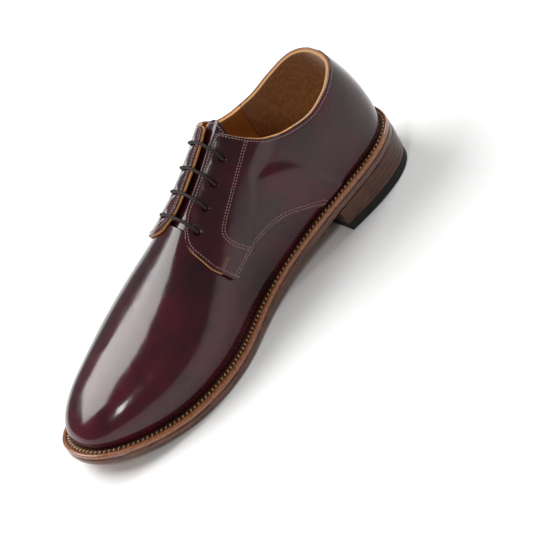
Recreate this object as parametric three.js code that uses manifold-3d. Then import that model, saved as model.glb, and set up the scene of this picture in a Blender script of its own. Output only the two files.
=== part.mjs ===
// Plain-toe derby shoe, right foot, Goodyear welted. Millimetres, +Z up, toe towards -Y, inner side +X.
// The upper is drawn as one smooth surface, the outside of the vamp. Every leather piece is a pattern cut
// from that surface and given two offsets from it, so the layers nest with a constant clearance.
import * as THREE from 'three';
import { mergeVertices } from 'three/addons/utils/BufferGeometryUtils.js';
import Module from 'manifold-3d';

const wasm = await Module();
wasm.setup();

// ---------------------------------------------------------------- driving dimensions
const LENGTH = 290;            // upper, heel to toe, at the welt
const HALF_WIDTH = 47;         // upper, ridge line to outer ball
const INSTEP_HEIGHT = 92;      // ridge above the feather line where the laces begin
const HEEL_STACK = 23.9;       // underside of the outsole above ground at the heel
const TOE_SPRING = 10;         // underside of the outsole above ground at the toe
const QUARTER_HEIGHT = 57;     // topline above the feather line at the back
const FACING_TOP = 98;         // station of the top of the lacing flaps
const CLEARANCE = 0.3;         // between neighbouring layers and plates

const VAMP_THICK = 1.3;
const QUARTER_THICK = 1.3;
const STIFFENER_THICK = 0.7;
const LINING_THICK = 1.0;
const FACING_LINING_THICK = 0.7;
const STAY_THICK = 0.5;
const TONGUE_THICK = 1.0;
const TONGUE_LINING_THICK = 0.6;
const TONGUE_DROP = 2.5;       // tongue's outer face below the vamp's outer face
const LASTING_MARGIN = 9;      // upper turned in under the insole
const UNDERLAP = 9;            // vamp hidden under the quarters

const INSOLE_THICK = 3;
const SOCK_THICK = 1.2;
const RIB_THICK = 2.4;
const RIB_DEPTH = 2;           // rib below the feather line
const CORK_ABOVE = 1.4;        // cork above the feather line
const SHANK_LENGTH = 104;
const SHANK_WIDTH = 13;
const SHANK_THICK = 1.5;
const WELT_THICK = 3.4;
const OUTSOLE_THICK = 4.9;
const TOP_LIFT_THICK = 6;
const LIFT_COUNT = 4;
const HEEL_LENGTH = 70;        // station of the heel breast
const HEEL_TAPER = 1.4;        // heel block drawn in at the ground

const LACE_RADIUS = 1.1;
const LACE_HOLE_RADIUS = 1.6;
const EYELET_RADIUS = 2.8;
const EYELET_COUNT = 4;
const EYELET_PITCH = 14.4;
const EYELET_FROM_TOP = 9;     // first eyelet below the top of the flap
const EYELET_GIRTH = 14;       // eyelet from the ridge line
const FLAP_MARGIN = 11;        // last eyelet to the flap's front edge
const TIP_LENGTH = 11;
const TIP_SETBACK = 2.3;       // end of a tip behind the throat
const NAIL_RADIUS = 1.1;
const NAIL_HEAD_RADIUS = 2.1;
const NAIL_START = 1.2;        // nail head above the ground
const NAIL_SHORT = 0.9;        // nail point below the third lift, at the back

const SIDE_STATIONS = 24;      // ribs from heel to toe on each side
const ROWS = 9;                // rows from feather line to ridge

// ---------------------------------------------------------------- levels from the vamp's outer face
const VAMP_INNER = -VAMP_THICK;
const STIFFENER_OUTER = VAMP_INNER - CLEARANCE;
const STIFFENER_INNER = STIFFENER_OUTER - STIFFENER_THICK;
const LINING_OUTER = STIFFENER_INNER - CLEARANCE;
const LINING_INNER = LINING_OUTER - LINING_THICK;
const LAP_INNER = CLEARANCE;
const FACING_STACK = FACING_LINING_THICK + STAY_THICK + 2 * CLEARANCE;
const TONGUE_OUTER = -TONGUE_DROP;
const TONGUE_INNER = TONGUE_OUTER - TONGUE_THICK;
const TONGUE_LINING_OUTER = TONGUE_INNER - CLEARANCE;
const TONGUE_LINING_INNER = TONGUE_LINING_OUTER - TONGUE_LINING_THICK;
const LACE_INSIDE = TONGUE_OUTER + CLEARANCE + LACE_RADIUS;
const FLAP_INNER = Math.max(LACE_INSIDE + LACE_RADIUS + CLEARANCE, CLEARANCE);
const FLAP_OUTER = FLAP_INNER + FACING_STACK + QUARTER_THICK;
const LACE_OUTSIDE = FLAP_OUTER + LACE_RADIUS + 2 * CLEARANCE;
const LAP_STEP = LAP_INNER - VAMP_INNER;
const SOLE_STACK = OUTSOLE_THICK + WELT_THICK + 2 * CLEARANCE;

const LAST_EYELET = FACING_TOP + EYELET_FROM_TOP + (EYELET_COUNT - 1) * EYELET_PITCH;
const THROAT = LAST_EYELET + 4.5;             // vamp's edge over the tongue, on the ridge
const TONGUE_BASE = THROAT + 7.5;             // tongue's front edge, under the vamp
const FORE_LINING = TONGUE_BASE + 2;          // linings run across the ridge ahead of this
const TONGUE_HALF = 23;
const TONGUE_TOP = FACING_TOP - 6;
const FACING_HALF = 28;                       // facing's rear edge from the ridge line
const SIDE_LINING_HALF = FACING_HALF + 1.5;

const GRIP_END = 0.205 * LENGTH;              // front seam of the heel lining
const SIDE_LINING_END = 0.41 * LENGTH;        // quarter lining meets vamp lining
const COUNTER_END = 0.28 * LENGTH;
const PUFF_START = 0.8 * LENGTH;
const PIECE_GAP = 0.8;                        // between lining pieces that meet at a seam

// ---------------------------------------------------------------- small helpers
const lerp = (a, b, f) => a + (b - a) * f;
const clamp01 = (f) => Math.min(1, Math.max(0, f));
const ease = (f) => clamp01(f) ** 2 * (3 - 2 * clamp01(f));

// Straight-line table: pairs of place and value.
function table(pairs, x) {
  if (x <= pairs[0][0]) return pairs[0][1];
  for (let i = 1; i < pairs.length; i += 1) {
    const [x1, y1] = pairs[i];
    const [x0, y0] = pairs[i - 1];
    if (x <= x1) return lerp(y0, y1, (x - x0) / (x1 - x0));
  }
  return pairs[pairs.length - 1][1];
}

// Uniform cubic B-spline weights.
function splineWeights(f) {
  return [(1 - f) ** 3 / 6, (3 * f ** 3 - 6 * f ** 2 + 4) / 6,
    (-3 * f ** 3 + 3 * f ** 2 + 3 * f + 1) / 6, f ** 3 / 6];
}

// A profile along the shoe: one control value every twelfth of the length, from two twelfths behind the heel.
function profile(values, station) {
  const q = (station / LENGTH) * 12 + 2;
  const i = Math.min(Math.max(Math.floor(q), 1), values.length - 3);
  return splineWeights(q - i).reduce((sum, w, k) => sum + w * values[i - 1 + k], 0);
}

// ---------------------------------------------------------------- the shoe's surface
const HEEL_RISE = [1.083, 1.042, 1, 0.946, 0.887, 0.770, 0.552, 0.310, 0.121, 0, 0, 0, 0, 0, 0, 0, 0];
const TOE_RISE = [0, 0, 0, 0, 0, 0, 0, 0, 0, 0, 0, 0, 0, 0.42, 0.96, 1.56, 2.2];
const RIDGE_RISE = [1.04, 1.05, 1.065, 1.08, 1.08, 1.067, 1.004, 0.915, 0.823, 0.724, 0.613, 0.526,
  0.447, 0.342, 0.185, -0.03, -0.28];
const RIDGE_SWING = [0, 0, 0, 0, 0.011, 0.043, 0.074, 0.096, 0.096, 0.081, 0.06, 0.043, 0.032, 0.026,
  0.021, 0.021, 0.021];

// Rows: station / length, half width, then the rib's inner control points: side bulge and height of two
// points, and how far in the third lies. Heel to toe along the inner side, then back along the outer side.
const RIBS = [
  [-0.003, 0.000, 5.5, 0.25, 2.0, 0.51, 0.61], [0.010, 0.447, 4.5, 0.24, 0.5, 0.50, 0.60],
  [0.076, 0.670, 4.0, 0.24, 0.0, 0.50, 0.58], [0.172, 0.702, 3.5, 0.24, -0.5, 0.50, 0.56],
  [0.290, 0.617, 3.0, 0.26, -1.0, 0.52, 0.54], [0.407, 0.511, 4.0, 0.30, 0.5, 0.60, 0.52],
  [0.517, 0.585, 5.0, 0.32, 1.5, 0.68, 0.52], [0.628, 0.883, 4.0, 0.34, 0.5, 0.78, 0.52],
  [0.738, 0.989, 3.5, 0.34, 0.5, 0.84, 0.52], [0.841, 0.872, 3.0, 0.34, 0.0, 0.88, 0.52],
  [0.931, 0.655, 3.2, 0.36, -0.3, 0.92, 0.52], [0.992, 0.360, 3.4, 0.38, -0.5, 0.94, 0.52],
  [1.001, -0.021, 3.4, 0.38, -0.5, 0.94, 0.52], [0.986, -0.372, 3.4, 0.38, -0.5, 0.94, 0.52],
  [0.912, -0.665, 3.2, 0.36, -0.3, 0.90, 0.52], [0.821, -0.862, 3.0, 0.34, 0.0, 0.86, 0.52],
  [0.717, -1.011, 3.5, 0.34, 0.5, 0.82, 0.52], [0.607, -1.011, 3.5, 0.34, 0.0, 0.76, 0.52],
  [0.503, -0.851, 3.5, 0.32, -0.5, 0.66, 0.52], [0.393, -0.713, 4.0, 0.30, 3.0, 0.64, 0.56],
  [0.283, -0.691, 5.0, 0.28, 5.0, 0.60, 0.66], [0.172, -0.702, 6.0, 0.26, 6.0, 0.58, 0.70],
  [0.076, -0.670, 6.0, 0.26, 6.0, 0.56, 0.68], [0.010, -0.447, 6.0, 0.26, 4.0, 0.54, 0.64],
];

const underside = (s) => HEEL_STACK * profile(HEEL_RISE, s) + TOE_SPRING * profile(TOE_RISE, s);
// Room at the waist for the second layer where the quarters lap the vamp under the insole.
const lapRoom = (s) => LAP_STEP * Math.min(ease((s - 8) / 34), ease((124 - s) / 38));
const weltTop = (s) => underside(s) + SOLE_STACK - CLEARANCE;
const feather = (s) => weltTop(s) + CLEARANCE + lapRoom(s);
const ridgeHeight = (s) => feather(s) + INSTEP_HEIGHT * profile(RIDGE_RISE, s);
const ridgeSide = (s) => HALF_WIDTH * profile(RIDGE_SWING, s);

function rail(u) {
  const i = Math.floor(u);
  const w = splineWeights(u - i);
  const value = (c) => w.reduce((sum, wk, k) => sum + wk * RIBS[(i + k - 1 + 48) % 24][c], 0);
  return { s: value(0) * LENGTH, x: value(1) * HALF_WIDTH, rib: [2, 3, 4, 5, 6].map(value) };
}

// The ridge station that a rib runs up to: its own, but gathered in at the heel and the toe.
function ridgeStation(s) {
  const [heelFrom, heelTo, toeFrom, toeTo] = [0.221, 0.131, 0.676, 0.903].map((f) => f * LENGTH);
  if (s < heelFrom) return heelFrom - (heelFrom - heelTo) * Math.tanh((heelFrom - s) / (heelFrom - heelTo));
  if (s > toeFrom) return toeFrom + (toeTo - toeFrom) * Math.tanh((s - toeFrom) / (toeTo - toeFrom));
  return s;
}

// A point of the vamp's outer face: u runs round the outline, t from the feather line (0) to the ridge (1).
function surfacePoint(u, t) {
  const { s, x, rib: [bulge1, rise1, bulge2, rise2, reach] } = rail(u);
  const top = ridgeStation(s);
  const side = ridgeSide(top);
  const run = Math.hypot(x - side, s - top);
  const base = feather(s);
  const rise = ridgeHeight(s) - base;
  const w = [(1 - t) ** 4, 4 * t * (1 - t) ** 3, 6 * t * t * (1 - t) ** 2, 4 * t ** 3 * (1 - t), t ** 4];
  const out = w[0] * run + w[1] * (run + bulge1) + w[2] * (run + bulge2) + w[3] * reach * run;
  const z = w[0] * base + w[1] * (base + rise1 * rise) + w[2] * (base + rise2 * rise)
    + w[3] * ridgeHeight(top + reach * (s - top)) + w[4] * ridgeHeight(top);
  return new THREE.Vector3(side + ((x - side) / run) * out, -(top + ((s - top) / run) * out), z);
}

function surfaceNormal(u, t) {
  const h = 0.002;
  const along = surfacePoint(u + h, t).sub(surfacePoint(u - h, t));
  const up = surfacePoint(u, Math.min(t + h, 1)).sub(surfacePoint(u, Math.max(t - h, 0)));
  return up.cross(along).normalize();
}

// Outward direction of the outline, seen from above.
function outlineNormal(u) {
  const h = 0.002;
  const a = rail(u - h);
  const b = rail(u + h);
  return new THREE.Vector3(b.s - a.s, b.x - a.x, 0).normalize();
}

// ---------------------------------------------------------------- ribs shared by every piece
function extremeRail(near, sign) {
  let best = near;
  for (let u = near - 1; u <= near + 1; u += 0.01) {
    if (sign * rail(u + 24).s > sign * rail(best + 24).s) best = u;
  }
  return best + 24;
}

const HEEL_U = extremeRail(0, -1);
const TOE_U = extremeRail(12, 1);

function outerSideU(station) {
  let [low, high] = [TOE_U, HEEL_U + 24];
  for (let i = 0; i < 50; i += 1) {
    const mid = (low + high) / 2;
    if (rail(mid).s > station) low = mid;
    else high = mid;
  }
  return (low + high) / 2;
}

// Parameters of the ribs: heel, inner side, toe, outer side. Both sides stand at the same stations.
function ribParameters() {
  const inner = [];
  for (let k = 0; k <= SIDE_STATIONS; k += 1) inner.push(lerp(HEEL_U, TOE_U, k / SIDE_STATIONS));
  const outer = inner.slice(1, -1).reverse().map((u) => outerSideU(rail(u).s));
  return inner.concat(outer);
}

const RIB_U = ribParameters();
const RIB_COUNT = RIB_U.length;
const RIB_RAIL = RIB_U.map((u) => ({ ...rail(u), out: outlineNormal(u) }));

function ribVertices(u, index) {
  const fine = 80;
  const lengths = [0];
  for (let i = 1; i <= fine; i += 1) {
    const step = surfacePoint(u, i / fine).distanceTo(surfacePoint(u, (i - 1) / fine));
    lengths.push(lengths[i - 1] + step);
  }
  const total = lengths[fine];
  const { s, x, out } = RIB_RAIL[index];
  const turnedIn = new THREE.Vector3(x - out.x * LASTING_MARGIN, -s - out.y * LASTING_MARGIN, 0);
  turnedIn.z = feather(-turnedIn.y);
  const down = new THREE.Vector3(0, 0, -1);
  const vertices = [{ p: turnedIn, n: down, f: -LASTING_MARGIN, g: total + LASTING_MARGIN }];
  // The corner's offsets follow both the wall and the sloping underside.
  const slope = (feather(s) - turnedIn.z) / LASTING_MARGIN;
  for (let row = 0; row <= ROWS; row += 1) {
    const f = (total * row) / ROWS;
    let i = lengths.findIndex((length) => length >= f - 1e-9);
    i = Math.max(i, 1);
    const t = (i - 1 + (f - lengths[i - 1]) / (lengths[i] - lengths[i - 1])) / fine;
    const n = row === 0 ? new THREE.Vector3(out.x, out.y, slope - 1) : surfaceNormal(u, Math.min(t, 0.97));
    vertices.push({ p: surfacePoint(u, t), n, f, g: total - f });
  }
  return vertices;
}

// The net of vertices: NET[rib][row], row 0 being the turned-in edge. Ribs of one station share their vertex
// on the ridge.
const NET = RIB_U.map(ribVertices);
for (let k = 1; k < SIDE_STATIONS; k += 1) {
  const inner = NET[k][ROWS + 1];
  inner.n.add(NET[RIB_COUNT - k][ROWS + 1].n).normalize();
  NET[RIB_COUNT - k][ROWS + 1] = inner;
}
NET.flat().forEach((vertex) => { vertex.s = -vertex.p.y; });

// All triangles of the net, each with its side: +1 inner, -1 outer.
function netTriangles() {
  const triangles = [];
  for (let i = 0; i < RIB_COUNT; i += 1) {
    const [a, b] = [NET[i], NET[(i + 1) % RIB_COUNT]];
    const side = i < SIDE_STATIONS ? 1 : -1;
    for (let row = 0; row <= ROWS; row += 1) {
      triangles.push({ side, v: [a[row], a[row + 1], b[row + 1]] });
      triangles.push({ side, v: [a[row], b[row + 1], b[row]] });
    }
  }
  return triangles;
}

// ---------------------------------------------------------------- cutting patterns
const keyOf = (v) => `${v.p.x.toFixed(4)},${v.p.y.toFixed(4)},${v.p.z.toFixed(4)}`;

function between(a, b, f) {
  return {
    p: a.p.clone().lerp(b.p, f), n: a.n.clone().lerp(b.n, f),
    s: lerp(a.s, b.s, f), f: lerp(a.f, b.f, f), g: lerp(a.g, b.g, f),
    lap: lerp(a.lap, b.lap, f), flap: lerp(a.flap, b.flap, f),
  };
}

// Where a cut passes very near a vertex it is moved on to it, so that no slivers are left.
const SNAP = 0.02;

function cutValues(triangles, test) {
  const values = new Map();
  triangles.forEach(({ v, side }) => v.forEach((vertex) => {
    const key = keyOf(vertex);
    if (!values.has(key)) values.set(key, test(vertex, side));
  }));
  triangles.forEach(({ v }) => v.forEach((vertex, i) => {
    const [ka, kb] = [keyOf(vertex), keyOf(v[(i + 1) % 3])];
    const [a, b] = [values.get(ka), values.get(kb)];
    if (a * b < 0 && Math.abs(a) < SNAP * Math.abs(b - a)) values.set(ka, 0);
    if (a * b < 0 && Math.abs(b) < SNAP * Math.abs(b - a)) values.set(kb, 0);
  }));
  return values;
}

// Keeps the part of the sheet where test(vertex, side) is positive.
function trim(triangles, test) {
  const values = cutValues(triangles, test);
  const kept = [];
  triangles.forEach((triangle) => {
    const { v } = triangle;
    const outline = [];
    v.forEach((a, i) => {
      const b = v[(i + 1) % 3];
      const [va, vb] = [values.get(keyOf(a)), values.get(keyOf(b))];
      if (va >= 0) outline.push(a);
      if (va * vb < 0) {
        const forward = keyOf(a) < keyOf(b);
        outline.push(forward ? between(a, b, va / (va - vb)) : between(b, a, vb / (vb - va)));
      }
    });
    const ring = outline.filter((a, i) => keyOf(a) !== keyOf(outline[(i + 1) % outline.length]));
    for (let i = 1; i + 1 < ring.length; i += 1) {
      kept.push({ ...triangle, v: [ring[0], ring[i], ring[i + 1]] });
    }
  });
  return kept;
}

// Keeps the part where either test is positive. The sheet is first split along both lines, so that the corner
// between them is cut exactly.
function trimEither(triangles, tests) {
  const split = (list, test) => trim(list, test).map((triangle) => ({ ...triangle, kept: true }))
    .concat(trim(list, (vertex, side) => -test(vertex, side)));
  return tests.reduce(split, triangles).filter(({ kept }) => kept);
}

const SHEET = netTriangles();

function pattern(side, tests) {
  const start = side ? SHEET.filter((triangle) => triangle.side === side) : SHEET;
  return tests.reduce(trim, start);
}

// A closed body from a flat pattern: inner and outer are offsets from the surface, by vertex.
function leather(triangles, inner, outer) {
  const index = new Map();
  const points = [];
  const idOf = (vertex) => {
    const key = keyOf(vertex);
    if (!index.has(key)) {
      index.set(key, points.length / 2);
      points.push(vertex.p.clone().addScaledVector(vertex.n, inner(vertex)));
      points.push(vertex.p.clone().addScaledVector(vertex.n, outer(vertex)));
    }
    return index.get(key);
  };
  const faces = triangles.map(({ v }) => v.map(idOf)).filter(([a, b, c]) => a !== b && b !== c && c !== a);
  const edges = new Set(faces.flatMap(([a, b, c]) => [`${a},${b}`, `${b},${c}`, `${c},${a}`]));
  const out = [];
  faces.forEach(([a, b, c]) => {
    out.push([2 * a + 1, 2 * b + 1, 2 * c + 1], [2 * c, 2 * b, 2 * a]);
    [[a, b], [b, c], [c, a]].forEach(([d, e]) => {
      if (!edges.has(`${e},${d}`)) out.push([2 * d, 2 * e, 2 * e + 1], [2 * d, 2 * e + 1, 2 * d + 1]);
    });
  });
  return meshGeometry(points, out);
}

function meshGeometry(points, faces) {
  const geometry = new THREE.BufferGeometry();
  const numbers = points.flatMap((p) => [p.x, p.y, p.z]);
  geometry.setAttribute('position', new THREE.Float32BufferAttribute(numbers, 3));
  geometry.setIndex(faces.flat());
  return geometry;
}

// ---------------------------------------------------------------- pattern lines
const toplineHeight = (s) => feather(s) + QUARTER_HEIGHT * table([[-0.1, 1.06], [0.1, 1.045], [0.32, 0.945],
  [0.45, 0.912], [0.64, 0.985], [0.8, 1.14], [0.88, 1.29], [0.94, 1.43], [1.0, 1.62], [1.03, 2.1]],
s / FACING_TOP);
const flapEdge = (s) => table([[FACING_TOP, 4.6], [FACING_TOP + 10, 3.4], [LAST_EYELET - 9, 4.0],
  [LAST_EYELET + 1, 6.4], [LAST_EYELET + 6, 9]], s);
const flapFront = (g) => LAST_EYELET + FLAP_MARGIN + table([[4, -10], [7, -6], [11, -2], [19, 0.5], [32, 0],
  [44, -4], [53, -7.5], [60, -13]], g);
const FLAP_CORNER = LAST_EYELET + FLAP_MARGIN - 7.5;
// Height of the seam between quarter and vamp above the feather line.
const seamRise = (s) => table([[0, -200], [0.3, -60], [0.45, -12], [0.49, 0], [0.58, 12], [0.65, 20],
  [0.74, 26], [0.88, 30], [1.0, 30], [1.1, 34]], s / FLAP_CORNER);
const throatLine = (g) => THROAT - table([[0, 0], [18, 1], [28, 5], [40, 9]], g);

const belowTopline = (v) => toplineHeight(v.s) - v.p.z;
const besideRidge = (v) => v.g - flapEdge(v.s);
const behindFlapFront = (v) => flapFront(v.g) - v.s;
const aboveSeam = (v) => v.f - seamRise(v.s);
const vampSide = (v) => Math.max(v.s - throatLine(v.g), seamRise(v.s) + UNDERLAP - v.f);
const offBackSeam = (v, side) => (v.s > 0.2 * LENGTH ? 10 : side * v.p.x - CLEARANCE);

// How far the quarters are lifted: over the vamp, and over the tongue, laces and facing. Both are set on the
// net's vertices and run straight between them, so that every layer follows the same facets.
const LAP_RUN_IN = (2 * LENGTH) / SIDE_STATIONS;     // two ribs
const facingReach = (s) => table([[LAST_EYELET - 32, FACING_HALF + 6], [LAST_EYELET - 18, 56]], s);
NET.flat().forEach((v) => {
  v.lap = ease(1 - (-vampSide(v) - LAP_RUN_IN) / 12);
  v.flap = ease(1 - (v.g - facingReach(v.s)) / 11) * ease((v.s - FACING_TOP + 40) / 26);
});
const facingInner = (v) => lerp(STIFFENER_INNER, FLAP_INNER, v.flap);
const quarterInner = (v) => Math.max(lerp(VAMP_INNER, LAP_INNER, v.lap),
  lerp(VAMP_INNER, FLAP_INNER + FACING_STACK, v.flap));

// ---------------------------------------------------------------- manifold cuts
function toManifold(geometry) {
  const plain = new THREE.BufferGeometry();
  plain.setAttribute('position', geometry.getAttribute('position').clone());
  if (geometry.index) plain.setIndex(geometry.index.clone());
  const merged = mergeVertices(plain, 1e-4);
  return new wasm.Manifold(new wasm.Mesh({
    numProp: 3,
    vertProperties: new Float32Array(merged.getAttribute('position').array),
    triVerts: new Uint32Array(merged.index.array),
  }));
}

function fromManifold(solid) {
  const { vertProperties, triVerts } = solid.getMesh();
  const geometry = new THREE.BufferGeometry();
  geometry.setAttribute('position', new THREE.Float32BufferAttribute(vertProperties, 3));
  geometry.setIndex(Array.from(triVerts));
  return geometry;
}

function drilled(geometry, drills) {
  const solid = drills.reduce((left, drill) => left.subtract(toManifold(drill)), toManifold(geometry));
  return fromManifold(solid);
}

// A cylinder with its middle at a place and its axis along a direction.
function rod(place, direction, radius, length, sides) {
  const geometry = new THREE.CylinderGeometry(radius, radius, length, sides);
  geometry.applyQuaternion(new THREE.Quaternion().setFromUnitVectors(new THREE.Vector3(0, 1, 0), direction));
  return geometry.translate(place.x, place.y, place.z);
}

// ---------------------------------------------------------------- places on the net
// Point and normal of the faceted surface at a station and girth, on the inner (+1) or outer (-1) side.
function place(side, s, g, level) {
  const ribOf = (k) => NET[side > 0 ? k : (RIB_COUNT - k) % RIB_COUNT];
  let k = 1;
  while (k < SIDE_STATIONS - 1 && RIB_RAIL[k + 1].s < s) k += 1;
  const across = (s - RIB_RAIL[k].s) / (RIB_RAIL[k + 1].s - RIB_RAIL[k].s);
  const onRib = (rib) => {
    const row = Math.min(Math.max(Math.floor((1 - g / rib[1].g) * ROWS), 0), ROWS - 1) + 1;
    return between(rib[row], rib[row + 1], (rib[row].g - g) / (rib[row].g - rib[row + 1].g));
  };
  const found = between(onRib(ribOf(k)), onRib(ribOf(k + 1)), across);
  found.n.normalize();
  return { at: found.p.clone().addScaledVector(found.n, level), n: found.n };
}

const eyeletStation = (i) => FACING_TOP + EYELET_FROM_TOP + i * EYELET_PITCH;
const eyeletGirth = (i) => EYELET_GIRTH + (i === EYELET_COUNT - 1 ? 1.5 : 0);

function eyeletDrills(side, radius) {
  const drills = [];
  for (let i = 0; i < EYELET_COUNT; i += 1) {
    const { at, n } = place(side, eyeletStation(i), eyeletGirth(i), FLAP_INNER);
    drills.push(rod(at, n, radius, 12, 10));
  }
  return drills;
}

// ---------------------------------------------------------------- plates and rings of the bottom
// Rail points of a rib moved outwards, as seen from above.
const spread = ({ s, x, out }, by) => new THREE.Vector3(x + out.x * by, -s + out.y * by, 0);

// Pairs of outline points from heel towards toe, cut straight across at a station.
function outlinePairs(by, endStation) {
  const pairs = [];
  for (let k = 0; k <= SIDE_STATIONS; k += 1) {
    const outer = (RIB_COUNT - k) % RIB_COUNT;
    pairs.push([spread(RIB_RAIL[k], by(RIB_RAIL[k].s)), spread(RIB_RAIL[outer], by(RIB_RAIL[outer].s))]);
  }
  if (endStation === undefined) return pairs;
  const kept = pairs.filter(([a, b]) => -a.y < endStation - 2 && -b.y < endStation - 2);
  const next = pairs[kept.length];
  const last = kept[kept.length - 1];
  kept.push(last.map((p, i) => p.clone().lerp(next[i], (endStation + p.y) / (p.y - next[i].y))));
  return kept;
}

// A plate between two heights given by station.
function plate(pairs, low, high) {
  const points = [];
  const faces = [];
  const ids = pairs.map((pair) => pair.map((p) => {
    const s = -p.y;
    points.push(new THREE.Vector3(p.x, p.y, low(s)), new THREE.Vector3(p.x, p.y, high(s)));
    return points.length - 2;
  }));
  const same = (pair) => pair[0].distanceTo(pair[1]) < 1e-6;
  pairs.forEach((pair, i) => { if (same(pair)) ids[i][1] = ids[i][0]; });
  const tri = (a, b, c) => { if (a !== b && b !== c && c !== a) faces.push([a, b, c]); };
  for (let i = 0; i + 1 < pairs.length; i += 1) {
    const [[a, d], [b, c]] = [ids[i], ids[i + 1]];
    tri(a + 1, d + 1, c + 1);
    tri(a + 1, c + 1, b + 1);
    tri(a, c, d);
    tri(a, b, c);
    faces.push([a, a + 1, b + 1], [a, b + 1, b], [c, c + 1, d + 1], [c, d + 1, d]);
  }
  [[ids[0][1], ids[0][0]], ids[ids.length - 1]].forEach(([a, b]) => {
    if (a !== b) faces.push([a, a + 1, b + 1], [a, b + 1, b]);
  });
  return tidy(meshGeometry(points, faces));
}

// A ring that follows the outline between two outward distances.
function outlineRing(inner, outer, low, high) {
  const points = [];
  const faces = [];
  RIB_RAIL.forEach((r) => {
    [[inner, low], [outer, low], [outer, high], [inner, high]].forEach(([by, height]) => {
      const p = spread(r, by(r.s));
      points.push(p.setZ(height(-p.y)));
    });
  });
  for (let i = 0; i < RIB_COUNT; i += 1) {
    const j = (i + 1) % RIB_COUNT;
    for (let c = 0; c < 4; c += 1) {
      const d = (c + 1) % 4;
      faces.push([4 * i + c, 4 * j + d, 4 * i + d], [4 * i + c, 4 * j + c, 4 * j + d]);
    }
  }
  return tidy(meshGeometry(points, faces));
}

// Turns a closed body the right way out and drops unused points.
function tidy(geometry) {
  const p = geometry.getAttribute('position');
  const v = [0, 1, 2].map(() => new THREE.Vector3());
  let volume = 0;
  for (let i = 0; i < geometry.index.count; i += 3) {
    v.forEach((corner, k) => corner.fromBufferAttribute(p, geometry.index.getX(i + k)));
    volume += v[0].dot(v[1].clone().cross(v[2]));
  }
  if (volume < 0) geometry.setIndex(Array.from(geometry.index.array).reverse());
  return mergeVertices(geometry, 1e-5);
}

// ---------------------------------------------------------------- materials
const leatherLook = (color) => new THREE.MeshStandardMaterial({ color, roughness: 0.35, metalness: 0 });
const LOOKS = {
  burgundy: leatherLook(0x4a1620),
  tan: leatherLook(0xb0682c),
  suede: leatherLook(0x6b4526),
  canvas: leatherLook(0xcfc4a8),
  solebrown: leatherLook(0x7a3f22),
  heelbrown: leatherLook(0x4b2816),
  cork: leatherLook(0x9c7a52),
  rubber: leatherLook(0x1c1a19),
  lace: leatherLook(0x2f211c),
  steel: new THREE.MeshStandardMaterial({ color: 0x9a9a98, roughness: 0.4, metalness: 1 }),
};

const shoe = new THREE.Group();
function add(name, geometry, look) {
  const mesh = new THREE.Mesh(geometry, LOOKS[look]);
  mesh.name = name;
  shoe.add(mesh);
}

// ---------------------------------------------------------------- upper
const sideName = (side) => (side > 0 ? 'medial' : 'lateral');
const fixed = (level) => () => level;

add('vamp', leather(pattern(0, [vampSide]), fixed(VAMP_INNER), fixed(0)), 'burgundy');

function quarter(side) {
  const sheet = pattern(side, [belowTopline, besideRidge, behindFlapFront, aboveSeam, offBackSeam]);
  const body = leather(sheet, quarterInner, (v) => quarterInner(v) + QUARTER_THICK);
  return drilled(body, eyeletDrills(side, LACE_HOLE_RADIUS));
}

function facingLining(side) {
  const sheet = pattern(side, [belowTopline, (v) => besideRidge(v) - 0.3, (v) => behindFlapFront(v) - 0.5,
    (v) => Math.min(table([[LAST_EYELET - 20, FACING_HALF], [LAST_EYELET - 10, 42]], v.s) - v.g, 12),
    (v) => v.s - FACING_TOP + 22]);
  const body = leather(sheet, facingInner, (v) => facingInner(v) + FACING_LINING_THICK);
  return drilled(body, eyeletDrills(side, EYELET_RADIUS + CLEARANCE));
}

function facingStay(side) {
  const low = (v) => facingInner(v) + FACING_LINING_THICK + CLEARANCE;
  const sheet = pattern(side, [(v) => belowTopline(v) - 2, (v) => besideRidge(v) - 1.5,
    (v) => behindFlapFront(v) - 2, (v) => 22 - v.g]);
  const body = leather(sheet, low, (v) => low(v) + STAY_THICK);
  return drilled(body, eyeletDrills(side, EYELET_RADIUS + CLEARANCE));
}

function quarterLining(side) {
  const sheet = pattern(side, [belowTopline, (v) => v.g - SIDE_LINING_HALF, (v) => v.s - GRIP_END - PIECE_GAP,
    (v) => SIDE_LINING_END - v.s]);
  return leather(sheet, fixed(LINING_INNER), fixed(LINING_OUTER));
}

// The sheet without the stretch that the tongue lies in.
const AROUND_TONGUE = trimEither(SHEET, [(v) => v.s - FORE_LINING, (v) => v.g - SIDE_LINING_HALF]);

[1, -1].forEach((side) => {
  add(`quarter_${sideName(side)}`, quarter(side), 'burgundy');
  add(`facing_stay_${sideName(side)}`, facingStay(side), 'canvas');
  add(`facing_lining_${sideName(side)}`, facingLining(side), 'tan');
  add(`quarter_lining_${sideName(side)}`, quarterLining(side), 'tan');
});

const VAMP_LINING_SHEET = trim(AROUND_TONGUE, (v) => v.s - SIDE_LINING_END - PIECE_GAP);
const INTERLINING_SHEET = [(v) => v.s - SIDE_LINING_END - 6, (v) => PUFF_START - PIECE_GAP - v.s]
  .reduce(trim, AROUND_TONGUE);
add('vamp_lining', leather(VAMP_LINING_SHEET, fixed(LINING_INNER), fixed(LINING_OUTER)), 'tan');
add('vamp_interlining', leather(INTERLINING_SHEET, fixed(STIFFENER_INNER), fixed(STIFFENER_OUTER)), 'canvas');
add('toe_puff', leather(pattern(0, [(v) => v.s - PUFF_START]),
  fixed(STIFFENER_INNER), fixed(STIFFENER_OUTER)), 'canvas');
add('heel_counter', leather(pattern(0, [(v) => belowTopline(v) - 7, (v) => COUNTER_END - v.s - 0.2 * v.f]),
  fixed(STIFFENER_INNER), fixed(STIFFENER_OUTER)), 'canvas');
add('heel_grip', leather(pattern(0, [belowTopline, (v) => GRIP_END - v.s]),
  fixed(LINING_INNER), fixed(LINING_OUTER)), 'suede');

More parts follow.
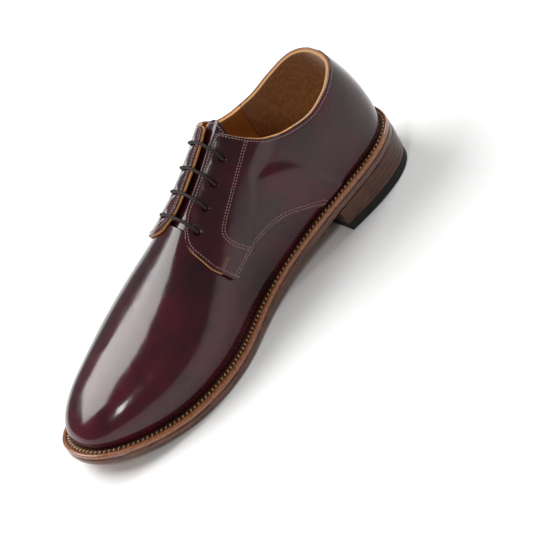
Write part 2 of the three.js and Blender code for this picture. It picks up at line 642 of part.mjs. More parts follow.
const tongueShape = (inset) => [(v) => TONGUE_HALF - inset - v.g, (v) => TONGUE_BASE - 2 * inset - v.s,
  (v) => v.s - TONGUE_TOP - inset - 0.012 * v.g * v.g];
add('tongue', leather(pattern(0, tongueShape(0)), fixed(TONGUE_INNER), fixed(TONGUE_OUTER)), 'burgundy');
add('tongue_lining', leather(pattern(0, tongueShape(0.8)),
  fixed(TONGUE_LINING_INNER), fixed(TONGUE_LINING_OUTER)), 'tan');

// ---------------------------------------------------------------- bottom
const weltReach = (s) => table([[0, 4.5], [0.38, 4.5], [0.52, 6], [0.66, 7.5], [1, 7.5]], s / LENGTH);
const reachOf = (by) => () => by;
const above = (line, by) => (s) => line(s) + by;
const INSOLE_LOW = -LINING_INNER + CLEARANCE;
const INSOLE_INSET = LINING_INNER - 3 * CLEARANCE;
const RIB_OUTSIDE = -LASTING_MARGIN - CLEARANCE;

add('insole', plate(outlinePairs(reachOf(INSOLE_INSET)), above(feather, INSOLE_LOW),
  above(feather, INSOLE_LOW + INSOLE_THICK)), 'solebrown');
add('sock_lining', plate(outlinePairs(reachOf(INSOLE_INSET - 2 * CLEARANCE)),
  above(feather, INSOLE_LOW + INSOLE_THICK + CLEARANCE),
  above(feather, INSOLE_LOW + INSOLE_THICK + CLEARANCE + SOCK_THICK)), 'tan');
add('insole_rib', outlineRing(reachOf(RIB_OUTSIDE - RIB_THICK), reachOf(RIB_OUTSIDE),
  above(feather, -RIB_DEPTH), above(feather, INSOLE_LOW - CLEARANCE)), 'canvas');
add('cork_filler', plate(outlinePairs(reachOf(RIB_OUTSIDE - RIB_THICK - CLEARANCE)),
  above(underside, OUTSOLE_THICK + CLEARANCE), above(feather, CORK_ABOVE)), 'cork');
add('welt', outlineRing(reachOf(RIB_OUTSIDE + CLEARANCE * 2), weltReach,
  above(weltTop, -WELT_THICK), weltTop), 'solebrown');
add('outsole', plate(outlinePairs(weltReach), underside, above(underside, OUTSOLE_THICK)), 'solebrown');

function shank() {
  const start = 0.2 * LENGTH;
  const pairs = [];
  for (let i = 0; i <= 10; i += 1) {
    const s = start + (SHANK_LENGTH * i) / 10;
    const half = (SHANK_WIDTH / 2) * (i === 0 || i === 10 ? 0.6 : 1);
    const middle = ridgeSide(s) - 2;
    pairs.push([new THREE.Vector3(middle + half, -s, 0), new THREE.Vector3(middle - half, -s, 0)]);
  }
  const low = CORK_ABOVE + CLEARANCE;
  return plate(pairs, above(feather, low), above(feather, low + SHANK_THICK));
}
add('shank', shank(), 'steel');

// ---------------------------------------------------------------- heel
const HEEL_BOTTOM = TOP_LIFT_THICK + CLEARANCE;
const NAIL_LENGTH = lerp(HEEL_BOTTOM, HEEL_STACK, 2 / LIFT_COUNT) - NAIL_SHORT - NAIL_START;

function heelNailPlaces() {
  const back = [[0.16, 0], [0.38, 1], [0.38, -1], [0.75, 1], [0.75, -1]];
  return back.map(([along, across]) => new THREE.Vector3(across * 0.38 * HALF_WIDTH, -along * HEEL_LENGTH,
    NAIL_LENGTH / 2 + NAIL_START));
}

function nail(at) {
  const half = NAIL_LENGTH / 2;
  const outline = [[0, -half], [NAIL_HEAD_RADIUS, -half], [NAIL_HEAD_RADIUS, -half + 0.9],
    [NAIL_RADIUS, -half + 1.2], [NAIL_RADIUS * 0.8, half - 1.5], [0, half]];
  const geometry = new THREE.LatheGeometry(outline.map(([r, z]) => new THREE.Vector2(r, z)), 8);
  return tidy(bare(geometry.rotateX(Math.PI / 2).translate(at.x, at.y, at.z)));
}

// A geometry with positions only, shared vertices merged.
function bare(geometry) {
  geometry.deleteAttribute('normal');
  geometry.deleteAttribute('uv');
  return mergeVertices(geometry, 1e-4);
}

const NAIL_DRILLS = heelNailPlaces().map((at) => rod(at.clone().setZ(NAIL_LENGTH / 2),
  new THREE.Vector3(0, 0, 1), NAIL_HEAD_RADIUS + CLEARANCE, NAIL_LENGTH + 3.5, 8));

function heelPiece(index) {
  const block = (s) => underside(s) - CLEARANCE;
  const level = (i) => (s) => lerp(HEEL_BOTTOM, block(s) + CLEARANCE, i / LIFT_COUNT);
  const low = index < 0 ? () => 0 : level(index);
  const high = index < 0 ? () => TOP_LIFT_THICK : (s) => level(index + 1)(s) - CLEARANCE;
  const share = (index + 1) / LIFT_COUNT;
  const reach = weltReach(0) - HEEL_TAPER * (1 - share);
  const geometry = plate(outlinePairs(reachOf(reach), HEEL_LENGTH - 1.5 * (1 - share)), low, high);
  const reached = low(HEEL_LENGTH / 2) < NAIL_LENGTH + 1.5;
  return reached ? drilled(geometry, NAIL_DRILLS) : geometry;
}

add('top_lift', heelPiece(-1), 'rubber');
for (let i = 0; i < LIFT_COUNT; i += 1) add(`heel_lift_${i + 1}`, heelPiece(i), 'heelbrown');
heelNailPlaces().forEach((at, i) => add(`heel_nail_${i + 1}`, nail(at), 'steel'));

// ---------------------------------------------------------------- lacing
function eyelet(side, i) {
  const { at, n } = place(side, eyeletStation(i), eyeletGirth(i), FLAP_INNER);
  const top = FACING_LINING_THICK + STAY_THICK;
  const outline = [[LACE_HOLE_RADIUS, 0], [EYELET_RADIUS, 0], [EYELET_RADIUS, top], [LACE_HOLE_RADIUS, top],
    [LACE_HOLE_RADIUS, 0]];
  const geometry = new THREE.LatheGeometry(outline.map(([r, z]) => new THREE.Vector2(r, z)), 10);
  geometry.applyQuaternion(new THREE.Quaternion().setFromUnitVectors(new THREE.Vector3(0, 1, 0), n));
  return tidy(bare(geometry.translate(at.x, at.y, at.z)));
}

[1, -1].forEach((side) => {
  for (let i = 0; i < EYELET_COUNT; i += 1) {
    add(`blind_eyelet_${sideName(side)}_${i + 1}`, eyelet(side, i), 'steel');
  }
});

// A route whose own points are the sections of the tube.
class Route extends THREE.Curve {
  constructor(points) {
    super();
    this.points = points;
  }

  getPoint(t) {
    const q = clamp01(t) * (this.points.length - 1);
    const i = Math.min(Math.floor(q), this.points.length - 2);
    return this.points[i].clone().lerp(this.points[i + 1], q - i);
  }

  getTangent(t) {
    const h = 1e-3 / this.points.length;
    return this.getPoint(Math.min(t + h, 1)).sub(this.getPoint(Math.max(t - h, 0))).normalize();
  }

  getTangentAt(u) {
    return this.getTangent(u);
  }

  getSpacedPoints(divisions) {
    return this.getPoints(divisions);
  }
}

function tube(points, radius) {
  const section = new THREE.Shape();
  for (let i = 0; i < 8; i += 1) {
    const angle = (i / 8) * 2 * Math.PI;
    const [x, y] = [radius * Math.cos(angle), radius * Math.sin(angle)];
    if (i === 0) section.moveTo(x, y);
    else section.lineTo(x, y);
  }
  section.closePath();
  const steps = points.length - 1;
  const extrusion = { steps, extrudePath: new Route(points), bevelEnabled: false };
  return tidy(bare(new THREE.ExtrudeGeometry(section, extrusion)));
}

const MIDDLE = (LACE_OUTSIDE + LACE_INSIDE) / 2;
const at = (side, i, shift, level) => place(side, eyeletStation(i), eyeletGirth(i) + shift, level).at;

// Outside, from one flap to the other, over the gap.
function bar(from, i) {
  const arc = [1.5, 4.5, 8].map((inward) => at(from, i, -inward, LACE_OUTSIDE));
  const centre = place(from, eyeletStation(i), 0.01, LACE_OUTSIDE - 0.3).at;
  return [...arc, centre, ...[8, 4.5, 1.5].map((inward) => at(-from, i, -inward, LACE_OUTSIDE))];
}

// Through an eyelet, towards the inside, or back out when reversed.
const through = (side, i) => [at(side, i, -0.3, LACE_OUTSIDE - 0.3), at(side, i, 0, LACE_OUTSIDE - 1.4),
  at(side, i, 0, MIDDLE), at(side, i, 0, LACE_INSIDE + 1.3), at(side, i, 0, LACE_INSIDE + 0.2)];

// Inside, along one flap between two eyelets, bowed sideways.
function run(side, from, to, bow) {
  const stations = [0.08, 0.25, 0.5, 0.75, 0.92];
  return stations.map((f) => place(side, lerp(eyeletStation(from), eyeletStation(to), f),
    lerp(eyeletGirth(from), eyeletGirth(to), f) + bow * Math.sin(Math.PI * f), LACE_INSIDE).at);
}

// Both tails lie inside the outer flap, and the front one's tip ends short of the throat.
const TAIL_LENGTH = THROAT - TIP_SETBACK - TIP_LENGTH - eyeletStation(1);

function tail(side, i, drift) {
  return [0.06, 0.35, 0.7, 1].map((f) => place(side, eyeletStation(i) + TAIL_LENGTH * f,
    eyeletGirth(i) + drift * Math.sin((Math.PI / 2) * f), LACE_INSIDE).at);
}

const LOW = EYELET_COUNT - 1;
const TAIL_A = tail(-1, 0, 5);
const TAIL_B = tail(-1, 1, -5.5);
const LACE_ROUTE = [
  ...TAIL_B.slice().reverse(), ...through(-1, 1).reverse(), ...bar(-1, 1), ...through(1, 1),
  ...run(1, 1, LOW, 3.4), ...through(1, LOW).reverse(), ...bar(1, LOW), ...through(-1, LOW),
  ...run(-1, LOW, LOW - 1, 0), ...through(-1, LOW - 1).reverse(), ...bar(-1, LOW - 1), ...through(1, LOW - 1),
  ...run(1, LOW - 1, 0, -3.4), ...through(1, 0).reverse(), ...bar(1, 0), ...through(-1, 0), ...TAIL_A,
];
add('lace', tube(LACE_ROUTE, LACE_RADIUS), 'lace');

[TAIL_A, TAIL_B].forEach((points, i) => {
  const end = points[points.length - 1];
  const direction = end.clone().sub(points[points.length - 2]).normalize();
  const middle = end.clone().addScaledVector(direction, CLEARANCE + TIP_LENGTH / 2);
  add(`lace_tip_${i + 1}`, bare(rod(middle, direction, LACE_RADIUS * 0.85, TIP_LENGTH, 8)), 'lace');
});

// Origin: middle of the bounding box in plan, on the ground.
const box = new THREE.Box3().setFromObject(shoe);
shoe.position.set(-(box.min.x + box.max.x) / 2, -(box.min.y + box.max.y) / 2, -box.min.z);

export default shoe;
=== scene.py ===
"""Looks of a plain-toe leather derby shoe, right foot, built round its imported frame.

The upper is one smooth surface, the outside of the vamp. Every leather piece is cut from a fine net over that
surface and given two offsets from it, in millimetres, then moved into the frame and scaled to metres.
"""

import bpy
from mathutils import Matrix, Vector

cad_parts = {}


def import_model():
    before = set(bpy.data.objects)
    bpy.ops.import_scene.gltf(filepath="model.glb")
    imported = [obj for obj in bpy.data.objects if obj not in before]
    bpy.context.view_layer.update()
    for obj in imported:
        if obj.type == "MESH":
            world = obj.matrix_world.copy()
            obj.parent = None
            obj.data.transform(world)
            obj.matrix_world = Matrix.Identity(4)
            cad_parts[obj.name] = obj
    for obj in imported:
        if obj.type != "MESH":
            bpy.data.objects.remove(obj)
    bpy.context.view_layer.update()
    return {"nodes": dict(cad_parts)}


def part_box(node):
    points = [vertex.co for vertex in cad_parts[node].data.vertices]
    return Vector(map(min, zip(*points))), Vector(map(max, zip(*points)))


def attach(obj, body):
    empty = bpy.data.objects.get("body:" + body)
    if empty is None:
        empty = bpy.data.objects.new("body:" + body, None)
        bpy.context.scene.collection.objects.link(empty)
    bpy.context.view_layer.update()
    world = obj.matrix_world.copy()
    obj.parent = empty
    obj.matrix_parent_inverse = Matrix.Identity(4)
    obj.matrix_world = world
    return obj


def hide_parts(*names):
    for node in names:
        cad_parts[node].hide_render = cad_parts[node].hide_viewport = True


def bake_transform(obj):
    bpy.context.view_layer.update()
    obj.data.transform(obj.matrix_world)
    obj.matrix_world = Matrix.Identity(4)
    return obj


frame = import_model()

import math

import bmesh
import bpy
import numpy as np
from mathutils import Matrix, Vector

MM = 0.001

# ------------------------------------------------------------------ sizes, in millimetres
LENGTH, HALF_WIDTH, INSTEP_HEIGHT = 290.0, 47.0, 92.0
HEEL_STACK, TOE_SPRING, QUARTER_HEIGHT, FACING_TOP = 23.9, 10.0, 57.0, 98.0
CLEARANCE = 0.3
THICK = 1.3                       # vamp and quarters
STIFFENER, LINING, FACING_LINING, STAY = 0.7, 1.0, 0.7, 0.5
TONGUE, TONGUE_LINING, TONGUE_DROP = 1.0, 0.6, 2.5
UNDERLAP = 9.0
INSOLE, SOCK = 3.0, 1.2
WELT, OUTSOLE, TOP_LIFT = 3.4, 4.9, 6.0
LIFT_COUNT, HEEL_LENGTH, HEEL_TAPER = 4, 70.0, 1.4
LACE_RADIUS, HOLE_RADIUS = 1.1, 1.6
EYELETS, EYELET_PITCH, EYELET_FROM_TOP, EYELET_GIRTH = 4, 14.4, 9.0, 14.0
FLAP_MARGIN, TIP_LENGTH, TIP_SETBACK = 11.0, 11.0, 2.3
NAIL_HEAD = 2.1

# Levels from the vamp's outer face.
VAMP_IN = -THICK
LINING_OUT = VAMP_IN - CLEARANCE - STIFFENER - CLEARANCE
LINING_IN = LINING_OUT - LINING
FACING_STACK = FACING_LINING + STAY + 2 * CLEARANCE
TONGUE_OUT = -TONGUE_DROP
TONGUE_IN = TONGUE_OUT - TONGUE
LACE_INSIDE = TONGUE_OUT + CLEARANCE + LACE_RADIUS
FLAP_IN = max(LACE_INSIDE + LACE_RADIUS + CLEARANCE, CLEARANCE)
LACE_OUTSIDE = FLAP_IN + FACING_STACK + THICK + LACE_RADIUS + 2 * CLEARANCE
SOLE_STACK = OUTSOLE + WELT + 2 * CLEARANCE

# Stations of the pattern.
LAST_EYELET = FACING_TOP + EYELET_FROM_TOP + (EYELETS - 1) * EYELET_PITCH
THROAT = LAST_EYELET + 4.5
TONGUE_BASE = THROAT + 7.5
FORE_LINING = TONGUE_BASE + 2
TONGUE_HALF, TONGUE_TOP = 23.0, FACING_TOP - 6
FACING_HALF = 28.0
GRIP_END, SIDE_LINING_END = 0.205 * LENGTH, 0.41 * LENGTH

STITCH_PITCH, UPPER_THREAD = 1.95, 0.36
SHORTEST_ROW = 6                   # a line of no more vertices than this is a scrap of a cut, and isn't sewn
WELT_PITCH = 3.2
EDGE_ROW = 2.1                    # stitch row from a cut edge
ROW_GAP = 1.8                     # between the two rows of a double seam

# ------------------------------------------------------------------ tables and profiles


def table(pairs, x):
    """Smooth table without overshoot: pairs of place and value."""
    xs, ys = np.array(pairs, float).T
    x = np.clip(np.asarray(x, float), xs[0], xs[-1])
    step = np.diff(xs)
    rise = np.diff(ys) / step
    slope = np.zeros(len(xs))
    slope[0], slope[-1] = rise[0], rise[-1]
    same = rise[:-1] * rise[1:] > 0
    inner = np.zeros(len(rise) - 1)
    inner[same] = 2 * rise[:-1][same] * rise[1:][same] / (rise[:-1][same] + rise[1:][same])
    slope[1:-1] = inner
    i = np.clip(np.searchsorted(xs, x, side="right") - 1, 0, len(step) - 1)
    h = step[i]
    f = (x - xs[i]) / h
    return (ys[i] * (1 + 2 * f) * (1 - f) ** 2 + h * slope[i] * f * (1 - f) ** 2
            + ys[i + 1] * f * f * (3 - 2 * f) + h * slope[i + 1] * f * f * (f - 1))


def ease(f):
    f = np.clip(f, 0, 1)
    return f * f * (3 - 2 * f)


def lerp(a, b, f):
    return a + (b - a) * f


def soft_min(values, width):
    """Smallest of some tests, rounded where two of them meet."""
    values = np.array(values)
    low = values.min(0)
    return low - width * np.log(np.exp(-(values - low) / width).sum(0))


def spline_weights(f):
    return [(1 - f) ** 3 / 6, (3 * f ** 3 - 6 * f ** 2 + 4) / 6, (-3 * f ** 3 + 3 * f ** 2 + 3 * f + 1) / 6,
            f ** 3 / 6]


PROFILE_STEPS, PROFILE_LEAD = 12, 2     # a profile's entries along the sole, and those before its heel end


def profile(values, station):
    """A smooth profile along the sole, from evenly spaced entries."""
    values = np.array(values)
    q = np.asarray(station, float) / LENGTH * PROFILE_STEPS + PROFILE_LEAD
    i = np.clip(np.floor(q).astype(int), 1, len(values) - 3)
    return sum(w * values[i - 1 + k] for k, w in enumerate(spline_weights(q - i)))


# ------------------------------------------------------------------ the shoe's surface
HEEL_RISE = [1.083, 1.042, 1, 0.946, 0.887, 0.770, 0.552, 0.310, 0.121, 0, 0, 0, 0, 0, 0, 0, 0]
TOE_RISE = [0, 0, 0, 0, 0, 0, 0, 0, 0, 0, 0, 0, 0, 0.42, 0.96, 1.56, 2.2]
RIDGE_RISE = [1.04, 1.05, 1.065, 1.08, 1.08, 1.067, 1.004, 0.915, 0.823, 0.724, 0.613, 0.526, 0.447, 0.342,
              0.185, -0.03, -0.28]
RIDGE_SWING = [0, 0, 0, 0, 0.011, 0.043, 0.074, 0.096, 0.096, 0.081, 0.06, 0.043, 0.032, 0.026, 0.021, 0.021,
               0.021]
# Station / length, half width, then the rib's inner control points, heel to toe and back by the outer side.
RIBS = np.array([
    [-0.003, 0.000, 5.5, 0.25, 2.0, 0.51, 0.61], [0.010, 0.447, 4.5, 0.24, 0.5, 0.50, 0.60],
    [0.076, 0.670, 4.0, 0.24, 0.0, 0.50, 0.58], [0.172, 0.702, 3.5, 0.24, -0.5, 0.50, 0.56],
    [0.290, 0.617, 3.0, 0.26, -1.0, 0.52, 0.54], [0.407, 0.511, 4.0, 0.30, 0.5, 0.60, 0.52],
    [0.517, 0.585, 5.0, 0.32, 1.5, 0.68, 0.52], [0.628, 0.883, 4.0, 0.34, 0.5, 0.78, 0.52],
    [0.738, 0.989, 3.5, 0.34, 0.5, 0.84, 0.52], [0.841, 0.872, 3.0, 0.34, 0.0, 0.88, 0.52],
    [0.931, 0.655, 3.2, 0.36, -0.3, 0.92, 0.52], [0.992, 0.360, 3.4, 0.38, -0.5, 0.94, 0.52],
    [1.001, -0.021, 3.4, 0.38, -0.5, 0.94, 0.52], [0.986, -0.372, 3.4, 0.38, -0.5, 0.94, 0.52],
    [0.912, -0.665, 3.2, 0.36, -0.3, 0.90, 0.52], [0.821, -0.862, 3.0, 0.34, 0.0, 0.86, 0.52],
    [0.717, -1.011, 3.5, 0.34, 0.5, 0.82, 0.52], [0.607, -1.011, 3.5, 0.34, 0.0, 0.76, 0.52],
    [0.503, -0.851, 3.5, 0.32, -0.5, 0.66, 0.52], [0.393, -0.713, 4.0, 0.30, 3.0, 0.64, 0.56],
    [0.283, -0.691, 5.0, 0.28, 5.0, 0.60, 0.66], [0.172, -0.702, 6.0, 0.26, 6.0, 0.58, 0.70],
    [0.076, -0.670, 6.0, 0.26, 6.0, 0.56, 0.68], [0.010, -0.447, 6.0, 0.26, 4.0, 0.54, 0.64]])
RIB_COUNT = len(RIBS)


def underside(s):
    return HEEL_STACK * profile(HEEL_RISE, s) + TOE_SPRING * profile(TOE_RISE, s)


def lap_room(s):
    """Room under the insole for the second layer, where the quarters lap the vamp."""
    return (CLEARANCE + THICK) * np.minimum(ease((s - 8) / 34), ease((124 - s) / 38))


def welt_top(s):
    return underside(s) + SOLE_STACK - CLEARANCE


def feather(s):
    return welt_top(s) + CLEARANCE + lap_room(s)


def ridge_height(s):
    return feather(s) + INSTEP_HEIGHT * profile(RIDGE_RISE, s)


def rail(u):
    """Station, place across and rib controls of the outline at some parameters."""
    u = np.asarray(u, float)
    i = np.floor(u).astype(int)
    row = sum(w[..., None] * RIBS[(i + k - 1) % RIB_COUNT] for k, w in enumerate(spline_weights(u - i)))
    return row[..., 0] * LENGTH, row[..., 1] * HALF_WIDTH, row[..., 2:]


def ridge_station(s):
    """The ridge station that a rib runs up to: its own, but gathered in at the heel and the toe."""
    heel_from, heel_to, toe_from, toe_to = (f * LENGTH for f in (0.221, 0.131, 0.676, 0.903))
    heel = heel_from - (heel_from - heel_to) * np.tanh((heel_from - s) / (heel_from - heel_to))
    toe = toe_from + (toe_to - toe_from) * np.tanh((s - toe_from) / (toe_to - toe_from))
    return np.where(s < heel_from, heel, np.where(s > toe_from, toe, s))


def surface(u, t):
    """Points of the vamp's outer face: u runs round the outline, t from feather line (0) to ridge (1)."""
    u, t = np.broadcast_arrays(np.asarray(u, float), np.asarray(t, float))
    s, x, rib = rail(u)
    bulge1, rise1, bulge2, rise2, reach = (rib[..., k] for k in range(5))
    top = ridge_station(s)
    side = HALF_WIDTH * profile(RIDGE_SWING, top)
    run = np.hypot(x - side, s - top)
    base = feather(s)
    rise = ridge_height(s) - base
    w = [(1 - t) ** 4, 4 * t * (1 - t) ** 3, 6 * t * t * (1 - t) ** 2, 4 * t ** 3 * (1 - t), t ** 4]
    out = w[0] * run + w[1] * (run + bulge1) + w[2] * (run + bulge2) + w[3] * reach * run
    z = (w[0] * base + w[1] * (base + rise1 * rise) + w[2] * (base + rise2 * rise)
         + w[3] * ridge_height(top + reach * (s - top)) + w[4] * ridge_height(top))
    return np.stack([side + (x - side) / run * out, -(top + (s - top) / run * out), z], -1)


def unit(v):
    return v / np.maximum(np.linalg.norm(v, axis=-1, keepdims=True), 1e-12)


def surface_normal(u, t):
    h = 0.004
    t = np.minimum(np.asarray(t, float), 0.985)
    along = surface(u + h, t) - surface(u - h, t)
    up = surface(u, np.minimum(t + h, 1)) - surface(u, np.maximum(t - h, 0))
    return unit(np.cross(up, along))


def outline_normal(u):
    h = 0.004
    (s0, x0, _), (s1, x1, _) = rail(u - h), rail(u + h)
    return unit(np.stack([s1 - s0, x1 - x0, 0 * s0], -1))


def extreme_rail(near, sign):
    """The parameter near a rib where the outline reaches furthest back or forward."""
    u = np.linspace(near - 1, near + 1, 2001)
    return u[np.argmax(sign * rail(u)[0])]


HEEL_U, TOE_U = extreme_rail(0, -1), extreme_rail(RIB_COUNT // 2, 1)


def outer_u(stations):
    """Parameters of the outer side at some stations."""
    low = np.full(len(stations), TOE_U)
    high = np.full(len(stations), HEEL_U + RIB_COUNT)
    for _ in range(40):
        mid = (low + high) / 2
        behind = rail(mid)[0] > stations
        low, high = np.where(behind, mid, low), np.where(behind, high, mid)
    return (low + high) / 2


# ------------------------------------------------------------------ fine nets
# A sheet is (vertices, triangles). A vertex's columns: place, normal, station, height up the rib, girth from
# the ridge, and the side it lies on.
S, F, G, SIDE = 6, 7, 8, 9
TURNED_IN = [4.5, 1.5]             # rows of the upper under the feather line


def rib_rows(u, rows):
    """Vertices of some ribs: (ribs, rows, columns)."""
    fine = np.linspace(0, 1, 161)
    points = surface(u[:, None], fine[None])
    lengths = np.concatenate([np.zeros((len(u), 1)),
                              np.cumsum(np.linalg.norm(np.diff(points, axis=1), axis=-1), axis=1)], 1)
    total = lengths[:, -1:]
    f = total * np.linspace(0, 1, rows + 1)
    t = np.array([np.interp(f[i], lengths[i], fine) for i in range(len(u))])
    place = surface(u[:, None], t)
    normal = surface_normal(u[:, None] + 0 * t, t)
    out = outline_normal(u)
    s, x, _ = rail(u)
    side = np.where(np.mod(u - HEEL_U, RIB_COUNT) < TOE_U - HEEL_U, 1.0, -1.0)[:, None]
    grid = np.concatenate([place, normal, -place[..., 1:2], f[..., None], (total - f)[..., None],
                           (side + 0 * f)[..., None]], -1)
    grid[:, 0, 3:6] = unit(out + [0, 0, -0.25])
    turned = []
    for depth in TURNED_IN:
        p = np.stack([x - out[:, 0] * depth, -s - out[:, 1] * depth, 0 * s], -1)
        p[:, 2] = feather(-p[:, 1]) - 0.15
        n = unit(out * (0.5 if depth < 2 else 0.0) + [0, 0, -1])
        turned.append(np.concatenate([p, n, -p[:, 1:2], 0 * side - depth, total + depth, side], -1))
    return np.concatenate([np.stack(turned, 1), grid], 1)


def grid_triangles(index):
    a, b, c, d = index[:-1, :-1], index[:-1, 1:], index[1:, 1:], index[1:, :-1]
    return np.concatenate([np.stack([a, b, c], -1).reshape(-1, 3), np.stack([a, c, d], -1).reshape(-1, 3)])


def side_net(side, stations, rows):
    """Sheet over one side, with ribs at some parameters of the inner side or their mirror stations."""
    u = np.asarray(stations, float)
    if side < 0:
        u = outer_u(rail(u)[0])
        u[0] = HEEL_U + RIB_COUNT
        u = u[::-1]
    grid = rib_rows(u, rows)
    index = np.arange(grid.shape[0] * grid.shape[1]).reshape(grid.shape[:2])
    grid[..., SIDE] = side
    return grid.reshape(-1, 10), grid_triangles(index)


def whole_net(ribs, rows):
    """Sheet over both sides, sharing the ridge."""
    inner = np.linspace(HEEL_U, TOE_U, ribs + 1)
    outer = outer_u(rail(inner[1:-1])[0])[::-1]
    u = np.concatenate([inner, outer])
    grid = rib_rows(u, rows)
    count, height = grid.shape[:2]
    index = np.arange(count * height).reshape(count, height)
    for k in range(1, ribs):
        twin = count - k
        grid[k, -1, 3:6] = unit(grid[k, -1, 3:6] + grid[twin, -1, 3:6])
        index[twin, -1] = index[k, -1]
    index = np.concatenate([index, index[:1]])
    sheet = (grid.reshape(-1, 10), grid_triangles(index))
    return compact(*sheet)


def compact(vertices, triangles):
    used, flat = np.unique(triangles, return_inverse=True)
    return vertices[used], flat.reshape(-1, 3)


# ------------------------------------------------------------------ cutting sheets
SNAP = 0.04                       # a cut this near a vertex, as a share of the edge, goes through it


def edge_table(triangles, count):
    edges = np.concatenate([triangles[:, [0, 1]], triangles[:, [1, 2]], triangles[:, [2, 0]]])
    low, high = edges.min(1), edges.max(1)
    return np.unique(low.astype(np.int64) * count + high)


def split(sheet, value):
    """Cuts the triangles along value = 0. Returns the sheet and each triangle's side of the cut."""
    vertices, triangles = sheet
    value = value.copy()
    count = len(vertices)
    keys = edge_table(triangles, count)
    a, b = keys // count, keys % count
    span = np.abs(value[a]) + np.abs(value[b]) + 1e-12
    crossing = value[a] * value[b] < 0
    value[a[crossing & (np.abs(value[a]) < SNAP * span)]] = 0
    value[b[crossing & (np.abs(value[b]) < SNAP * span)]] = 0
    crossing = value[a] * value[b] < 0
    a, b, keys = a[crossing], b[crossing], keys[crossing]
    f = (value[a] / (value[a] - value[b]))[:, None]
    vertices = np.concatenate([vertices, vertices[a] * (1 - f) + vertices[b] * f])

    def cut(p, q):
        key = np.minimum(p, q).astype(np.int64) * count + np.maximum(p, q)
        return count + np.searchsorted(keys, key)

    sign = np.sign(value[triangles]).astype(int)
    positive, negative = (sign > 0).sum(1), (sign < 0).sum(1)
    whole = (positive == 0) | (negative == 0)
    made = [triangles[whole]]
    label = [np.where(negative[whole] > 0, -1, 1)]

    def turned(mask, first):
        t = triangles[mask]
        start = first[mask].argmax(1)
        return [t[np.arange(len(t)), (start + k) % 3] for k in range(3)]

    through = ~whole & (positive == 1) & (negative == 1)
    z, p, q = turned(through, sign == 0)
    if len(z):
        m = cut(p, q)
        side = np.sign(value[p]).astype(int)
        made += [np.stack([z, p, m], 1), np.stack([z, m, q], 1)]
        label += [side, -side]
    for own, other, lone in ((positive, negative, 1), (negative, positive, -1)):
        mask = ~whole & (own == 1) & (other == 2)
        p, q, r = turned(mask, sign == lone)
        if len(p):
            m, n = cut(p, q), cut(r, p)
            made += [np.stack([p, m, n], 1), np.stack([m, q, r], 1), np.stack([m, r, n], 1)]
            label += [np.full(len(p), lone), np.full(len(p), -lone), np.full(len(p), -lone)]
    return (vertices, np.concatenate(made)), np.concatenate(label)


def keep(sheet, test):
    """The part of a sheet where test(vertices) is positive."""
    (vertices, triangles), label = split(sheet, test(sheet[0]))
    return compact(vertices, triangles[label > 0])


def contour(sheet, value):
    """Polylines of a sheet's vertices along value = 0."""
    vertices, triangles = sheet
    count = len(vertices)
    value = np.where(value == 0, 1e-9, value)
    keys = edge_table(triangles, count)
    a, b = keys // count, keys % count
    crossing = value[a] * value[b] < 0
    a, b, keys = a[crossing], b[crossing], keys[crossing]
    f = (value[a] / (value[a] - value[b]))[:, None]
    points = vertices[a] * (1 - f) + vertices[b] * f
    sign = value[triangles] > 0
    mixed = (sign.any(1)) & ~(sign.all(1))
    links = {}
    for tri, sg in zip(triangles[mixed], sign[mixed]):
        ends = []
        for i in range(3):
            j = (i + 1) % 3
            if sg[i] != sg[j]:
                key = min(tri[i], tri[j]) * count + max(tri[i], tri[j])
                ends.append(int(np.searchsorted(keys, key)))
        links.setdefault(ends[0], []).append(ends[1])
        links.setdefault(ends[1], []).append(ends[0])
    lines, seen = [], set()
    starts = [k for k in links if len(links[k]) == 1] + list(links)
    for start in starts:
        if start in seen:
            continue
        line, here = [start], start
        seen.add(start)
        while True:
            onward = [n for n in links[here] if n not in seen]
            if not onward:
                break
            here = onward[0]
            seen.add(here)
            line.append(here)
        if len(line) > 2:
            lines.append(points[line])
    return lines


def open_edges(triangles):
    edges = np.concatenate([triangles[:, [0, 1]], triangles[:, [1, 2]], triangles[:, [2, 0]]])
    size = triangles.max() + 1
    forward = edges[:, 0].astype(np.int64) * size + edges[:, 1]
    back = edges[:, 1].astype(np.int64) * size + edges[:, 0]
    return edges[~np.isin(forward, back)]


def edge_distance(sheet, far, counts=None):
    """Distance of each vertex from the sheet's cut edge, up to a limit."""
    vertices, triangles = sheet
    edges = open_edges(triangles)
    if counts is not None:
        edges = edges[counts(vertices[edges].mean(1))]
    d = np.full(len(vertices), far)
    if not len(edges):
        return d
    a, b = vertices[edges[:, 0], :3], vertices[edges[:, 1], :3]
    ab = b - a
    length2 = np.maximum((ab ** 2).sum(1), 1e-12)
    low, high = np.minimum(a, b).min(0) - far, np.maximum(a, b).max(0) + far
    near = np.where(((vertices[:, :3] > low) & (vertices[:, :3] < high)).all(1))[0]
    for chunk in np.array_split(near, max(1, len(near) * len(edges) // 4000000 + 1)):
        p = vertices[chunk, :3]
        ap = p[:, None] - a[None]
        f = np.clip((ap * ab).sum(2) / length2, 0, 1)
        gap = np.linalg.norm(ap - f[..., None] * ab, axis=2).min(1)
        d[chunk] = np.minimum(gap, far)
    return d


# ------------------------------------------------------------------ places on the surface
def side_grid(side):
    u = np.linspace(HEEL_U, TOE_U, 361)[:-1]
    if side < 0:
        u = outer_u(rail(u)[0])
        u[0] = HEEL_U + RIB_COUNT
    t = np.linspace(0, 1, 121)
    p = surface(u[:, None], t[None])
    step = np.linalg.norm(np.diff(p, axis=1), axis=-1)
    f = np.concatenate([np.zeros((len(u), 1)), np.cumsum(step, 1)], 1)
    return {"u": u, "t": t, "s": -p[..., 1], "z": p[..., 2], "f": f, "g": f[:, -1:] - f}


GRIDS = {1: side_grid(1), -1: side_grid(-1)}


